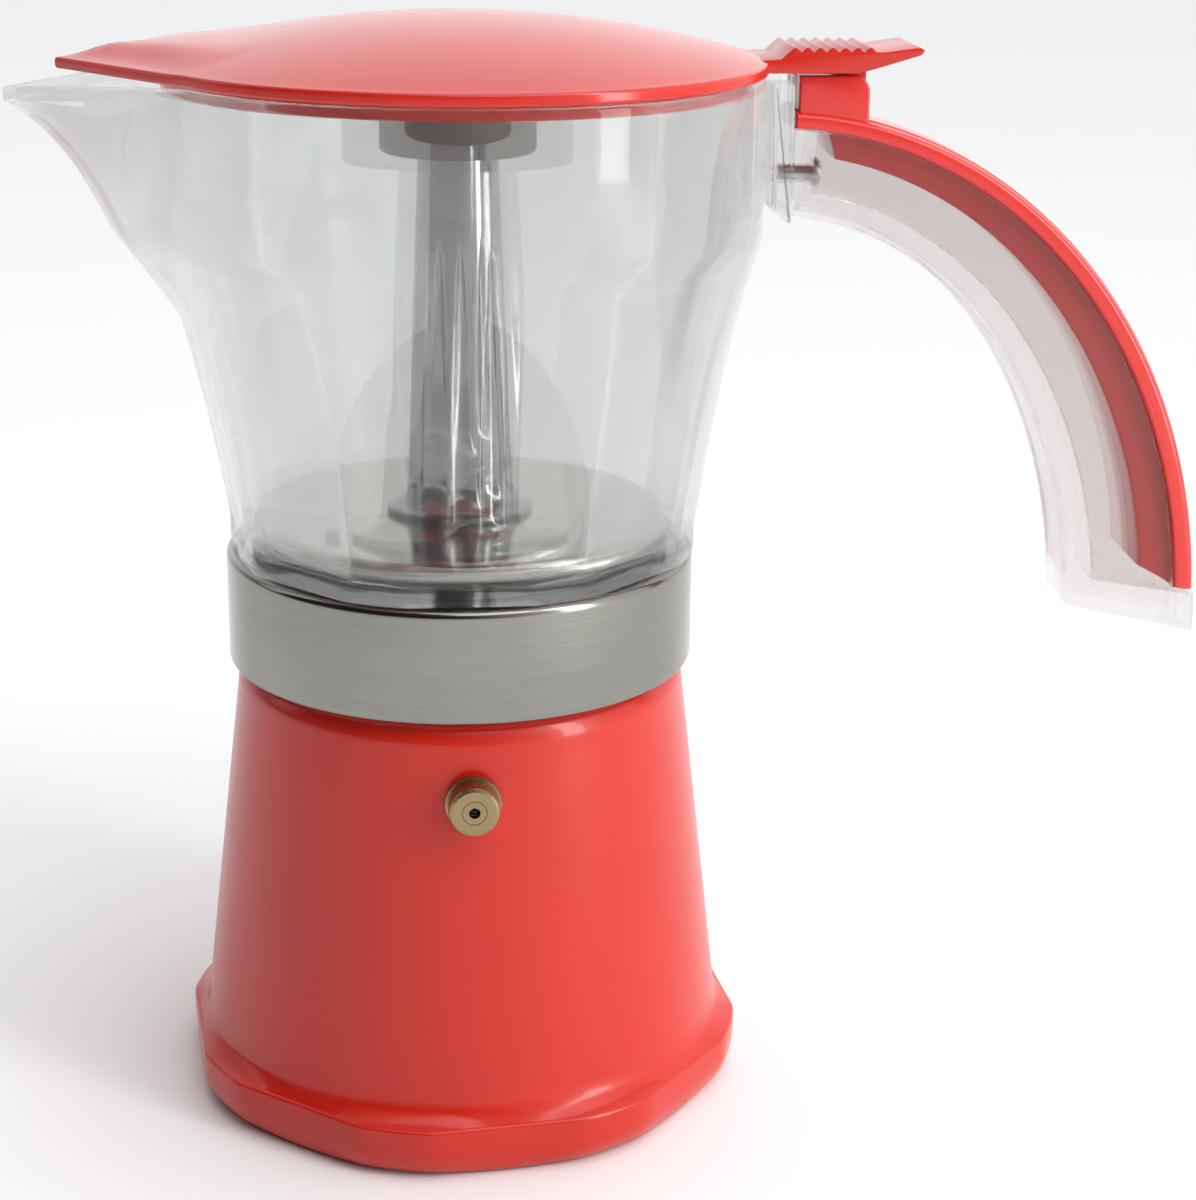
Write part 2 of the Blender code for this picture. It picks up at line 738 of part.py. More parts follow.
def beak_share(z):
    """How far the spout stands out, from 0 where it leaves the wall to 1 at its lip."""
    share = (z - BEAK_LOW_Z) / (JUG_RIM_Z - BEAK_DIP - BEAK_LOW_Z)
    if share <= 0:
        return 0.0
    return min(0.72 * share + 0.28 * share**6, 1.0)


def beak_radius(azimuth, radius, reach):
    """Distance to a straight-sided beak at -X that stands reach proud of a circle."""
    off = abs((azimuth + 90 + 180) % 360 - 180)
    if off >= BEAK_HALF_ANGLE:
        return radius
    half = math.radians(BEAK_HALF_ANGLE)
    side_x, side_y, tip = radius * math.cos(half), radius * math.sin(half), radius + reach
    angle = math.radians(off)
    return tip * side_y / (side_y * math.cos(angle) + (tip - side_x) * math.sin(angle))


def jug_ring(z, inset):
    """The jug's outline at a height, moved inwards by inset, with the spout's rim dipping."""
    radius, roundness = jug_outline(z)
    share = beak_share(z)
    ring = []
    for azimuth in ring_angles():
        plain = facet_radius(azimuth, radius) * (1 - roundness) + radius * roundness
        out = beak_radius(azimuth, plain, BEAK_REACH * share)
        standing = (out - plain) / BEAK_REACH
        dip = BEAK_DIP * standing * smoothstep((z - BEAK_LOW_Z) / (JUG_RIM_Z - BEAK_LOW_Z))
        ring.append(around(azimuth, out - inset, z - dip))
    return ring


def make_jug(parts, cutters):
    heights = [
        JUG_LOW_Z + JUG_SKIRT + (JUG_RIM_Z - JUG_LOW_Z - JUG_SKIRT) * share
        for share in (0, 0.12, 0.24, 0.36, 0.48, 0.58, 0.65, 0.72, 0.79, 0.86, 0.92, 0.97, 1)
    ]
    outside = [jug_ring(z, 0) for z in [JUG_LOW_Z, *heights]]
    inside = [jug_ring(z, JUG_WALL) for z in [JUG_FLOOR_Z, *heights]][::-1]
    jug = loft("jug", outside + inside)
    hole = SPIGOT_RADIUS + GAP
    drill = cylinder("jug_hole", hole, (0, 0, JUG_LOW_Z - 5 * MM), (0, 0, JUG_FLOOR_Z + 5 * MM))
    combine(jug, drill, "DIFFERENCE", cutters)
    inner_x = JUG_TOP_RADIUS - JUG_WALL / 2
    outline = [
        (inner_x, PAD_LOW_Z + 4 * MM),
        (inner_x, JUG_RIM_Z - 1 * MM),
        (PAD_REACH, JUG_RIM_Z - 1 * MM),
        (PAD_REACH, PAD_LOW_Z),
        (JUG_TOP_RADIUS + 0.5 * MM, PAD_LOW_Z),
    ]
    combine(jug, prism("handle_pad", outline, PAD_HALF_WIDTH), "UNION", cutters)
    for z in screw_heights():
        start, end = (inner_x + 2 * MM, 0, z), (PAD_REACH + MM, 0, z)
        drill = cylinder("pad_hole", SCREW_RADIUS + GAP, start, end, SCREW_SIDES)
        combine(jug, drill, "DIFFERENCE", cutters)
    return finish(jug, parts, "clear_plastic")


# ---------------------------------------------------------------- handle


def arch_point(along, depth):
    """A point of the handle in its own plane: along from 0, its end, to 1, at the jug's pad.

    Depth runs from 0 on the inner ellipse to 1 on the outer one.
    """
    root_x = PAD_REACH + GAP
    ends = []
    for (half_x, half_z), first in ((ARCH_INNER, ARCH_INNER_START), (ARCH_OUTER, ARCH_OUTER_START)):
        last = math.degrees(math.acos((root_x - ARCH_X) / half_x))
        angle = math.radians(first + (last - first) * along)
        ends.append(Vector((ARCH_X + half_x * math.cos(angle), ARCH_Z + half_z * math.sin(angle))))
    return ends[0].lerp(ends[1], depth)


def swept(name, section, first=0.0, last=1.0, steps=ARCH_STEPS):
    """A body along the arch whose section lists (depth, y) points."""
    rings = []
    for i in range(steps + 1):
        along = first + (last - first) * i / steps
        ring = []
        for depth, y in section:
            point = arch_point(along, depth)
            ring.append((point.x, y, point.y))
        rings.append(ring)
    return loft(name, rings)


def rounded_section(low, high, half_width, corner_depth, corner_y):
    """A rectangle from one depth to another with its corners rounded, as (depth, y) points."""
    quarter = []
    for angle in (0, 30, 60, 90):
        turn = math.radians(angle)
        quarter.append((corner_depth * (1 - math.sin(turn)), corner_y * (1 - math.cos(turn))))
    section = []
    section += [(low + d, -half_width + y) for d, y in quarter]
    section += [(low + d, half_width - y) for d, y in reversed(quarter)]
    section += [(high - d, half_width - y) for d, y in quarter]
    section += [(high - d, -half_width + y) for d, y in reversed(quarter)]
    return section


def screw_heights():
    """Heights of the screws that hold the handle to the jug's pad."""
    low = arch_point(1, CHANNEL_FLOOR).y
    high = arch_point(1, 1 - INSERT_TONGUE).y
    return [low + (high - low) * share for share in (0.43,)]


def make_handle(parts, cutters):
    insert_low = 1 - INSERT_CAP
    inner_half = HANDLE_HALF_WIDTH - HANDLE_WALL
    channel = swept(
        "handle_channel",
        rounded_section(0, insert_low - 0.012, HANDLE_HALF_WIDTH, 0.12, 2.2 * MM),
    )
    hollow = [
        (CHANNEL_FLOOR, -inner_half),
        (CHANNEL_FLOOR, inner_half),
        (insert_low + 0.1, inner_half),
        (insert_low + 0.1, -inner_half),
    ]
    combine(channel, swept("handle_hollow", hollow, 0.045, 0.965), "DIFFERENCE", cutters)
    for z in screw_heights():
        start, end = (PAD_REACH - MM, 0, z), (PAD_REACH + 9 * MM, 0, z)
        drill = cylinder("channel_hole", SCREW_RADIUS + GAP, start, end, SCREW_SIDES)
        combine(channel, drill, "DIFFERENCE", cutters)
    finish(channel, parts, "clear_plastic")
    make_insert(parts, cutters)


def insert_section(share, taper):
    """The cap's outline, narrower by taper on each side, with its tongue at a share of its depth."""
    half = HANDLE_HALF_WIDTH - HANDLE_WALL - GAP
    low = 1 - INSERT_CAP
    tip = low + (1 - INSERT_TONGUE - low) * share
    cap = rounded_section(low, 1, HANDLE_HALF_WIDTH - taper, 0.1, INSERT_CORNER - taper)
    tongue = [(low, -half), (tip, -half), (tip, half), (low, half)]
    return tongue + cap[4:] + cap[:4]


def make_insert(parts, cutters):
    """The red strip: a cap as wide as the handle, a tongue in the channel and the hinge block."""
    first, last = TONGUE_ENDS
    ramp = 0.02
    stations = [(0.02, TONGUE_STUB), (first - ramp, TONGUE_STUB)]
    stations += [(first + (last - first) * i / ARCH_STEPS, 1) for i in range(ARCH_STEPS + 1)]
    stations += [(last + ramp, TONGUE_STUB), (1.0, TONGUE_STUB)]
    rings = []
    for along, share in stations:
        ring = []
        for depth, y in insert_section(share, INSERT_TAPER if along in (0.02, 1.0) else 0):
            point = arch_point(along, depth)
            ring.append((point.x, y, point.y))
        rings.append(ring)
    insert = loft("handle_insert", rings)
    steps = range(0, 91, 15)
    block = [
        (BLOCK_START_X, arch_point(1, 0.915).y),
        (BLOCK_START_X, PIN_Z + KNUCKLE_RADIUS),
    ]
    for a in steps:
        lean = math.radians(a)
        block.append(
            (PIN_X + KNUCKLE_RADIUS * math.sin(lean), PIN_Z + KNUCKLE_RADIUS * math.cos(lean))
        )
    block += [(PIN_X + KNUCKLE_RADIUS, arch_point(0.895, 0.915).y)]
    combine(insert, prism("hinge_block", block, BLOCK_HALF_WIDTH), "UNION", cutters)
    slot_low = PIN_Z - KNUCKLE_RADIUS - 0.5 * MM
    slot_start = PIN_X - 4.6 * MM
    slot = [
        (slot_start, slot_low),
        (slot_start, PIN_Z + 10 * MM),
        (PIN_X + 10 * MM, PIN_Z + 10 * MM),
        (PIN_X + 10 * MM, slot_low),
    ]
    combine(insert, prism("lug_slot", slot, LUG_HALF_WIDTH + GAP), "DIFFERENCE", cutters)
    half = BLOCK_HALF_WIDTH + MM
    hole = cylinder(
        "block_bore", PIN_RADIUS + PIN_CLEARANCE, (PIN_X, -half, PIN_Z), (PIN_X, half, PIN_Z)
    )
    combine(insert, hole, "DIFFERENCE", cutters)
    finish(insert, parts, "red_plastic")


def make_screw(name, start, direction, parts):
    """A pan-head screw whose shank runs back from its head, with a plain shank for its thread."""
    screw = turned(
        name,
        [
            (0, SCREW_HEAD_DEPTH, 0),
            (SCREW_HEAD_RADIUS, SCREW_HEAD_DEPTH, 0.6 * MM),
            (SCREW_HEAD_RADIUS, 0, 0),
            (SCREW_RADIUS, 0, 0),
            (SCREW_RADIUS, -SCREW_LENGTH, 0),
            (0, -SCREW_LENGTH, 0),
        ],
        parts,
        "steel",
        on_axis=True,
        steps=16,
    )
    turn = Vector(direction).to_track_quat("Z", "Y")
    for vertex in screw.data.vertices:
        vertex.co = turn @ vertex.co + Vector(start)


# ---------------------------------------------------------------- lid


def lid_height(radius):
    """Height of the lid's top over its lower edge, on a shallow dome."""
    share = min(radius / LID_RADIUS, 1.0)
    return LID_LOW_Z + LID_EDGE + LID_RISE * (1 - share * share)


def lid_ring(share, drop, inset=0.0):
    """A ring of the lid at a share of its outline, lowered by drop."""
    ring = []
    for azimuth in ring_angles():
        out = beak_radius(azimuth, LID_RADIUS, LID_BEAK_REACH) - inset
        radius = out * share
        ring.append(around(azimuth, radius, lid_height(radius) - drop))
    return ring


def make_lid(parts, cutters):
    shares = (0.02, 0.2, 0.4, 0.58, 0.74, 0.88, 0.96)
    low_edge = [Vector((p.x, p.y, LID_LOW_Z)) for p in lid_ring(1, 0, LID_WALL / 2)]
    mid_edge = [Vector((p.x, p.y, LID_LOW_Z + LID_EDGE * 0.4)) for p in lid_ring(1, 0)]
    top = [lid_ring(share, 0) for share in shares] + [lid_ring(1, 0.3 * MM)]
    flat = [[Vector((p.x, p.y, LID_LOW_Z)) for p in lid_ring(1, 0, 5 * MM)]]
    under = flat + [lid_ring(share, LID_WALL) for share in reversed(shares[:-2])]
    lid = loft("lid", top + [mid_edge, low_edge] + under)
    lip_radius = JUG_TOP_RADIUS - JUG_WALL - LID_LIP_CLEARANCE
    lip = turned(
        "lid_lip",
        [
            (lip_radius - LID_LIP_WALL, LID_LOW_Z + 0.9 * MM, 0),
            (lip_radius, LID_LOW_Z + 0.9 * MM, 0),
            (lip_radius, LID_LOW_Z - LID_LIP_HEIGHT, 0),
            (lip_radius - LID_LIP_WALL, LID_LOW_Z - LID_LIP_HEIGHT, 0),
        ],
        cutters,
        "red_plastic",
    )
    cutters.objects.unlink(lip)
    gap = box_outline(-LID_RADIUS, -LIP_GAP_START, LID_LOW_Z - 5 * MM, LID_LOW_Z + 2 * MM)
    spout_gap = prism("lip_gap", gap, LIP_GAP_HALF_WIDTH)
    combine(lip, spout_gap, "DIFFERENCE", cutters)
    combine(lid, lip, "UNION", cutters)
    boss_low = cap_top_z() + GAP
    boss = cylinder("lid_boss", BOSS_RADIUS, (0, 0, boss_low), (0, 0, lid_height(0) - 0.9 * MM), 20)
    combine(lid, boss, "UNION", cutters)
    top = boss_low + SCREW_LENGTH - 2 * MM
    drill = cylinder("boss_hole", SCREW_RADIUS + GAP, (0, 0, boss_low - MM), (0, 0, top), 16)
    combine(lid, drill, "DIFFERENCE", cutters)
    add_tab(lid, cutters)
    return finish(lid, parts, "red_plastic")


def add_tab(lid, cutters):
    """Joins the thumb tab and the hinge lug to the lid, and bores the lug."""
    under = PIN_Z + KNUCKLE_RADIUS + 2 * GAP
    start_x = LID_RADIUS - 6 * MM
    knuckle_x = PIN_X + KNUCKLE_RADIUS
    rib_pitch = (knuckle_x - LID_RADIUS - 2 * MM) / TAB_RIBS
    outline = [(start_x, under), (start_x, lid_height(start_x) - 0.4 * MM)]
    for i in range(TAB_RIBS):
        x = LID_RADIUS + 2 * MM + i * rib_pitch
        outline += [(x, TAB_TOP_Z - 0.7 * MM), (x + rib_pitch * 0.5, TAB_TOP_Z)]
    outline += [
        (knuckle_x + MM, TAB_TOP_Z - 0.8 * MM),
        (TAB_TIP_X - 0.8 * MM, TAB_TOP_Z),
        (TAB_TIP_X, TAB_TOP_Z - 0.6 * MM),
        (TAB_TIP_X - 0.8 * MM, TAB_TOP_Z - 1.4 * MM),
        (knuckle_x, under + 0.6 * MM),
        (PIN_X, under),
    ]
    combine(lid, prism("thumb_tab", outline, TAB_HALF_WIDTH), "UNION", cutters)
    radius = KNUCKLE_RADIUS - 0.1 * MM
    lug = [(PIN_X - radius, under + MM)]
    lug += [
        (PIN_X + radius * math.cos(math.radians(a)), PIN_Z + radius * math.sin(math.radians(a)))
        for a in range(180, 361, 20)
    ]
    lug += [(PIN_X + radius, under + MM)]
    combine(lid, prism("hinge_lug", lug, LUG_HALF_WIDTH), "UNION", cutters)
    half = LUG_HALF_WIDTH + MM
    bore = cylinder(
        "lug_bore", PIN_RADIUS + PIN_CLEARANCE, (PIN_X, -half, PIN_Z), (PIN_X, half, PIN_Z)
    )
    combine(lid, bore, "DIFFERENCE", cutters)


def cap_top_z():
    return lid_height(0) - LID_WALL - 4.5 * MM


def make_splash_cap(parts):
    """A cup that hangs open side down from the lid's boss, round the column's top."""
    high, hole = cap_top_z(), SCREW_RADIUS + GAP
    turned(
        "splash_cap",
        [
            (hole, high, 0),
            (CAP_RADIUS, high, CAP_ROUND),
            (CAP_RADIUS, CAP_LOW_Z, CAP_WALL * 0.9),
            (CAP_RADIUS - CAP_WALL, CAP_LOW_Z, 0),
            (CAP_RADIUS - CAP_WALL, high - CAP_WALL, CAP_ROUND - CAP_WALL),
            (hole, high - CAP_WALL, 0),
        ],
        parts,
        "grey_plastic",
    )


# ---------------------------------------------------------------- assembly


def build():
    clear_scene()
    parts = new_collection("moka_pot")
    cutters = new_collection("cutters")
    make_boiler(parts, cutters)
    make_valve(parts, cutters)
    strainer_z = make_funnel(parts)
    perforated_disc(
        "funnel_strainer",
        FUNNEL_RADIUS - FUNNEL_WALL - GAP,
        strainer_z,
        STRAINER_THICKNESS,
        STRAINER_HOLES,
        STRAINER_HOLE,
        parts,
        cutters,
        "aluminium",
    )
    make_gasket(parts)
    perforated_disc(
        "filter_plate",
        FILTER_RADIUS,
        FILTER_Z,
        FILTER_THICKNESS,
        FILTER_HOLES,
        FILTER_HOLE,
        parts,
        cutters,
        "aluminium",
    )
    make_thread_base(parts)
    make_band(parts)
    make_seal("lower_seal", LOWER_SEAL_INNER_RADIUS, LOWER_SEAL_RADIUS, LOWER_SEAL_Z, parts)
    make_jug(parts, cutters)
    make_seal("upper_seal", UPPER_SEAL_INNER_RADIUS, UPPER_SEAL_RADIUS, UPPER_SEAL_Z, parts)
    make_plate(parts)
    make_column(parts, cutters)
    make_handle(parts, cutters)
    hinge_pin = cylinder(
        "hinge_pin",
        PIN_RADIUS,
        (PIN_X, -BLOCK_HALF_WIDTH + GAP, PIN_Z),
        (PIN_X, BLOCK_HALF_WIDTH - GAP, PIN_Z),
    )
    finish(hinge_pin, parts, "steel")
    for z in screw_heights():
        head_x = arch_point(0.965, 0.6).x + GAP
        make_screw("handle_screw", (head_x, 0, z), (1, 0, 0), parts)
    make_lid(parts, cutters)
    make_splash_cap(parts)
    make_screw("cap_screw", (0, 0, cap_top_z() - CAP_WALL - GAP), (0, 0, -1), parts)
    cutters.hide_render = True


build()
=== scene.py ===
import logging
import math
from dataclasses import dataclass, field
from enum import Enum
from typing import Any, Optional, Sequence

import bpy
import numpy as np
from mathutils import Matrix, Vector


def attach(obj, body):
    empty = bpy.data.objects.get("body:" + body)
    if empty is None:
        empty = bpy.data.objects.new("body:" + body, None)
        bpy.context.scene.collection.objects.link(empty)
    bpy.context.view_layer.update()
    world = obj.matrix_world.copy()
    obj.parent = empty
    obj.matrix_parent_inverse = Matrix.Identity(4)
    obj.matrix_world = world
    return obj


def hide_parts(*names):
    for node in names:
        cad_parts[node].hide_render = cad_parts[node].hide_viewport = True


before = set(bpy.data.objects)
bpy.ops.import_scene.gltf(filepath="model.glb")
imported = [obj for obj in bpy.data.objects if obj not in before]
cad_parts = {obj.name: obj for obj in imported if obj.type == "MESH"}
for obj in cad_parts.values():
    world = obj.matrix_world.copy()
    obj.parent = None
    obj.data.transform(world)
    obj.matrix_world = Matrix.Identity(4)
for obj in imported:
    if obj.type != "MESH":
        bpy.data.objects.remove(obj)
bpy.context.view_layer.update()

LOG = logging.getLogger("moka_pot")
MM = 0.001
TURN = 192  # points round every turned or lofted piece
Grid = np.ndarray
RGB = tuple[float, float, float]


class Body(Enum):
    """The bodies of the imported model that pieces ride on."""

    BOILER = "boiler"
    POPPET = "poppet"
    FUNNEL = "funnel"
    GASKET = "gasket_set"
    COLLECTOR = "collector"
    LID = "lid"


# ------------------------------------------------------------------ shader expressions


class Value:
    """A number socket that grows Math nodes when it is used in an expression."""

    def __init__(self, graph: "Graph", socket: bpy.types.NodeSocket) -> None:
        """Wraps a socket.

        Args:
            graph: The graph that the socket belongs to.
            socket: The output socket of some node.
        """
        self.graph = graph
        self.socket = socket

    def _math(self, operation: str, first: Any, second: Any) -> "Value":
        """Adds one Math node.

        Args:
            operation: The node's operation.
            first: A Value or a number.
            second: A Value or a number.

        Returns:
            The node's result.
        """
        return self.graph.value("ShaderNodeMath", {"operation": operation}, {0: first, 1: second})

    def __add__(self, other: Any) -> "Value":
        """This plus other."""
        return self._math("ADD", self, other)

    def __radd__(self, other: Any) -> "Value":
        """Other plus this."""
        return self._math("ADD", other, self)

    def __mul__(self, other: Any) -> "Value":
        """This times other."""
        return self._math("MULTIPLY", self, other)

    def __rmul__(self, other: Any) -> "Value":
        """Other times this."""
        return self._math("MULTIPLY", other, self)


class Graph:
    """The node graph of one material, with its Principled shader."""

    def __init__(self, name: str) -> None:
        """Makes an empty material.

        Args:
            name: The material's name.
        """
        self.material = bpy.data.materials.new(name)
        self.material.use_nodes = True
        self.tree = self.material.node_tree
        self.tree.nodes.clear()
        self.shader = self.tree.nodes.new("ShaderNodeBsdfPrincipled")
        self.output = self.tree.nodes.new("ShaderNodeOutputMaterial")
        self.tree.links.new(self.shader.outputs["BSDF"], self.output.inputs["Surface"])

    def node(self, kind: str, settings: dict[str, Any], inputs: dict[Any, Any]) -> bpy.types.Node:
        """Adds a node, sets it up, then fills its sockets.

        Args:
            kind: The node's type.
            settings: Attributes that are set first, such as an operation.
            inputs: Numbers, colours, Values or sockets by socket name or number.

        Returns:
            The node.
        """
        node = self.tree.nodes.new(kind)
        for key, setting in settings.items():
            setattr(node, key, setting)
        for key, given in inputs.items():
            self.fill(node.inputs[key], given)
        return node

    def fill(self, socket: bpy.types.NodeSocket, given: Any) -> None:
        """Links or sets one socket.

        Args:
            socket: The input socket.
            given: A Value, an output socket, a number or a tuple.
        """
        if isinstance(given, Value):
            given = given.socket
        if isinstance(given, bpy.types.NodeSocket):
            self.tree.links.new(given, socket)
        else:
            socket.default_value = given

    def value(self, kind: str, settings: dict[str, Any], inputs: dict[Any, Any], out: Any = 0) -> Value:
        """Adds a node and wraps one of its outputs.

        Args:
            kind: The node's type.
            settings: See node.
            inputs: See node.
            out: The output's name or number.

        Returns:
            The output as a Value.
        """
        return Value(self, self.node(kind, settings, inputs).outputs[out])

    def place(self, scale: Sequence[float] = (1, 1, 1)) -> bpy.types.NodeSocket:
        """Object coordinates, stretched by a scale on each axis.

        Args:
            scale: How much the pattern is squeezed along each axis.

        Returns:
            The coordinates.
        """
        coordinates = self.node("ShaderNodeTexCoord", {}, {})
        given = {"Vector": coordinates.outputs["Object"], "Scale": tuple(scale)}
        mapping = self.node("ShaderNodeMapping", {}, given)
        return mapping.outputs["Vector"]

    def noise(self, scale: float, stretch: Sequence[float] = (1, 1, 1), detail: float = 3.0) -> Value:
        """Noise from 0 to 1, with a number of spots per metre along each axis."""
        return self.value(
            "ShaderNodeTexNoise", {}, {"Vector": self.place(stretch), "Scale": scale, "Detail": detail}, "Fac"
        )

    def tint(self, amount: Value, low: RGB, high: RGB) -> bpy.types.NodeSocket:
        """A colour between two, by an amount from 0 to 1.

        Args:
            amount: From 0, all low, to 1, all high.
            low: The first colour.
            high: The second colour.

        Returns:
            The colour.
        """
        mix = self.node("ShaderNodeMix", {"data_type": "RGBA"}, {})
        self.fill(mix.inputs[0], amount)
        self.fill(mix.inputs[6], (*low, 1.0))
        self.fill(mix.inputs[7], (*high, 1.0))
        return mix.outputs[2]

    def bump(self, height: Value, strength: float, distance: float) -> None:
        """Feeds a Bump node into the shader's normal.

        Args:
            height: The relief, from 0 to 1.
            strength: How much of the relief is used.
            distance: The relief's height in metres.
        """
        bump = self.node("ShaderNodeBump", {}, {"Strength": strength, "Distance": distance, "Height": height})
        self.tree.links.new(bump.outputs["Normal"], self.shader.inputs["Normal"])

    def constants(self, **given: Any) -> None:
        """Sets the shader's own sockets; underscores stand for blanks in their names."""
        for key, setting in given.items():
            socket = self.shader.inputs[key.replace("_", " ")]
            colour = isinstance(setting, tuple) and len(setting) == 3
            socket.default_value = (*setting, 1.0) if colour else setting


# ------------------------------------------------------------------ finishes


@dataclass(frozen=True)
class Finish:
    """A finish that knows how to build its material."""

    name: str
    slot: str

    def material(self) -> bpy.types.Material:
        """The finish's material, built once and then shared.

        Returns:
            The material.
        """
        title = self.name + "_finish"
        return bpy.data.materials.get(title) or self.build(Graph(title)).material

    def build(self, graph: Graph) -> Graph:
        """Fills the graph; each finish has its own way."""
        raise NotImplementedError


@dataclass(frozen=True)
class Enamel(Finish):
    """Baked red enamel on aluminium: a deep red under a clear coat with a faint orange peel."""

    deep: RGB = (0.52, 0.013, 0.005)
    light: RGB = (0.62, 0.020, 0.008)
    roughness: float = 0.3
    coat: float = 0.25
    peel: float = 0.00003

    def build(self, graph: Graph) -> Graph:
        """Mottles the red, varies the gloss and adds the peel.

        Args:
            graph: The empty graph.

        Returns:
            The graph.
        """
        cloud = graph.noise(28.0)
        graph.fill(graph.shader.inputs["Base Color"], graph.tint(cloud, self.deep, self.light))
        smear = graph.noise(160.0, detail=4.0)
        graph.fill(graph.shader.inputs["Roughness"], self.roughness - 0.05 + 0.1 * smear)
        graph.bump(graph.noise(900.0, detail=1.5), 0.35, self.peel)
        graph.constants(Coat_Weight=self.coat, Coat_Roughness=0.05, IOR=1.42)
        return graph


@dataclass(frozen=True)
class ClearPlastic(Finish):
    """Clear moulded plastic with faint flow waves and a trace of wiping marks."""

    colour: RGB = (0.5, 0.53, 0.5)
    roughness: float = 0.03
    body: float = 0.3

    def build(self, graph: Graph) -> Graph:
        """Makes the body clear, and gives its skin weak waves and marks.

        Args:
            graph: The empty graph.

        Returns:
            The graph.
        """
        graph.constants(Base_Color=self.colour, Transmission_Weight=1.0, IOR=1.46, Alpha=self.body)
        marks = graph.noise(420.0, (1, 1, 0.25), 4.0)
        graph.fill(graph.shader.inputs["Roughness"], self.roughness * 0.5 + self.roughness * marks)
        graph.bump(graph.noise(60.0, detail=1.0), 0.2, 0.00006)
        return graph


@dataclass(frozen=True)
class Metal(Finish):
    """Bare metal with turning lines round its axis, soft blotches and a given gloss."""

    colour: RGB = (0.80, 0.80, 0.79)
    shade: RGB = (0.66, 0.66, 0.66)
    roughness: float = 0.2
    lines: float = 0.3
    pitch: float = 2600.0

    def build(self, graph: Graph) -> Graph:
        """Draws fine lines that run round the axis and breaks them up with blotches.

        Args:
            graph: The empty graph.

        Returns:
            The graph.
        """
        lines = graph.noise(1.0, (28.0, 28.0, self.pitch), 5.0)
        blotch = graph.noise(45.0)
        tone = graph.tint(0.55 * lines + 0.45 * blotch, self.shade, self.colour)
        graph.fill(graph.shader.inputs["Base Color"], tone)
        graph.fill(graph.shader.inputs["Roughness"], self.roughness * (0.75 + 0.5 * lines))
        graph.bump(lines, self.lines, 0.00004)
        graph.constants(Metallic=1.0)
        return graph


@dataclass(frozen=True)
class Satin(Finish):
    """Moulded plastic or rubber with a fine spark-eroded grain."""

    colour: RGB = (0.45, 0.45, 0.45)
    shade: RGB = (0.36, 0.36, 0.36)
    roughness: float = 0.5
    grain: float = 0.25

    def build(self, graph: Graph) -> Graph:
        """Lays a fine grain over a nearly even colour.

        Args:
            graph: The empty graph.

        Returns:
            The graph.
        """
        grain = graph.noise(2600.0, detail=2.0)
        cloud = graph.noise(40.0)
        graph.fill(graph.shader.inputs["Base Color"], graph.tint(cloud, self.shade, self.colour))
        graph.fill(graph.shader.inputs["Roughness"], self.roughness - 0.08 + 0.16 * grain)
        graph.bump(grain, self.grain, 0.00003)
        return graph


@dataclass(frozen=True)
class Ground(Finish):
    """The pale studio floor."""

    colour: RGB = (0.9, 0.9, 0.9)

    def build(self, graph: Graph) -> Graph:
        """A matt, faintly uneven white.

        Args:
            graph: The empty graph.

        Returns:
            The graph.
        """
        cloud = graph.noise(1.2)
        low = tuple(c * 0.985 for c in self.colour)
        graph.fill(graph.shader.inputs["Base Color"], graph.tint(cloud, low, self.colour))
        graph.fill(graph.shader.inputs["Roughness"], 0.75 + 0.1 * cloud)
        return graph


ENAMEL = Enamel("boiler_enamel", "boiler_paint")
LID_RED = Enamel("lid_red", "lid_plastic", (0.54, 0.018, 0.010), (0.62, 0.026, 0.015), 0.2, 0.2, 0.00001)
INSERT_RED = Enamel(
    "insert_red", "insert_plastic", (0.66, 0.026, 0.022), (0.74, 0.034, 0.028), 0.2, 0.4, 0.00001
)
CLEAR_JUG = ClearPlastic("clear_jug", "clear_jug", (0.62, 0.645, 0.615), 0.03, 0.45)
CLEAR_HANDLE = ClearPlastic("clear_handle", "clear_handle", (0.66, 0.6, 0.585), 0.05, 0.6)
BAND_STEEL = Metal("band_steel", "band_steel", (0.36, 0.352, 0.318), (0.2, 0.195, 0.178), 0.17, 0.2, 3200.0)
PLATE_METAL = Metal("plate_metal", "plate_metal", (0.6, 0.6, 0.56), (0.5, 0.5, 0.47), 0.14, 0.15, 500.0)
COLUMN_METAL = Metal("column_metal", "column_metal", (0.5, 0.5, 0.5), (0.36, 0.37, 0.38), 0.12, 0.1, 900.0)
BASE_METAL = Metal("base_metal", "base_metal", (0.74, 0.74, 0.73), (0.6, 0.6, 0.6), 0.38, 0.4, 1500.0)
FUNNEL_METAL = Metal("funnel_metal", "funnel_metal", (0.8, 0.8, 0.8), (0.68, 0.68, 0.68), 0.32, 0.4, 2400.0)
BRASS = Metal("valve_brass", "valve_brass", (0.44, 0.33, 0.17), (0.24, 0.18, 0.1), 0.34, 0.3, 1800.0)
STEEL = Metal("fastener_steel", "fastener_steel", (0.6, 0.6, 0.6), (0.45, 0.45, 0.45), 0.28, 0.3, 2000.0)
CAP_GREY = Satin("cap_grey", "cap_plastic", (0.17, 0.15, 0.145), (0.13, 0.12, 0.115), 0.42)
SEAL = Satin("seal_silicone", "seal_rubber", (0.74, 0.72, 0.66), (0.66, 0.64, 0.58), 0.6)
DARK_SEAL = Satin("dark_seal", "dark_seal", (0.03, 0.03, 0.03), (0.02, 0.02, 0.02), 0.6)
FLOOR = Ground("studio_floor", "")


# ------------------------------------------------------------------ surfaces


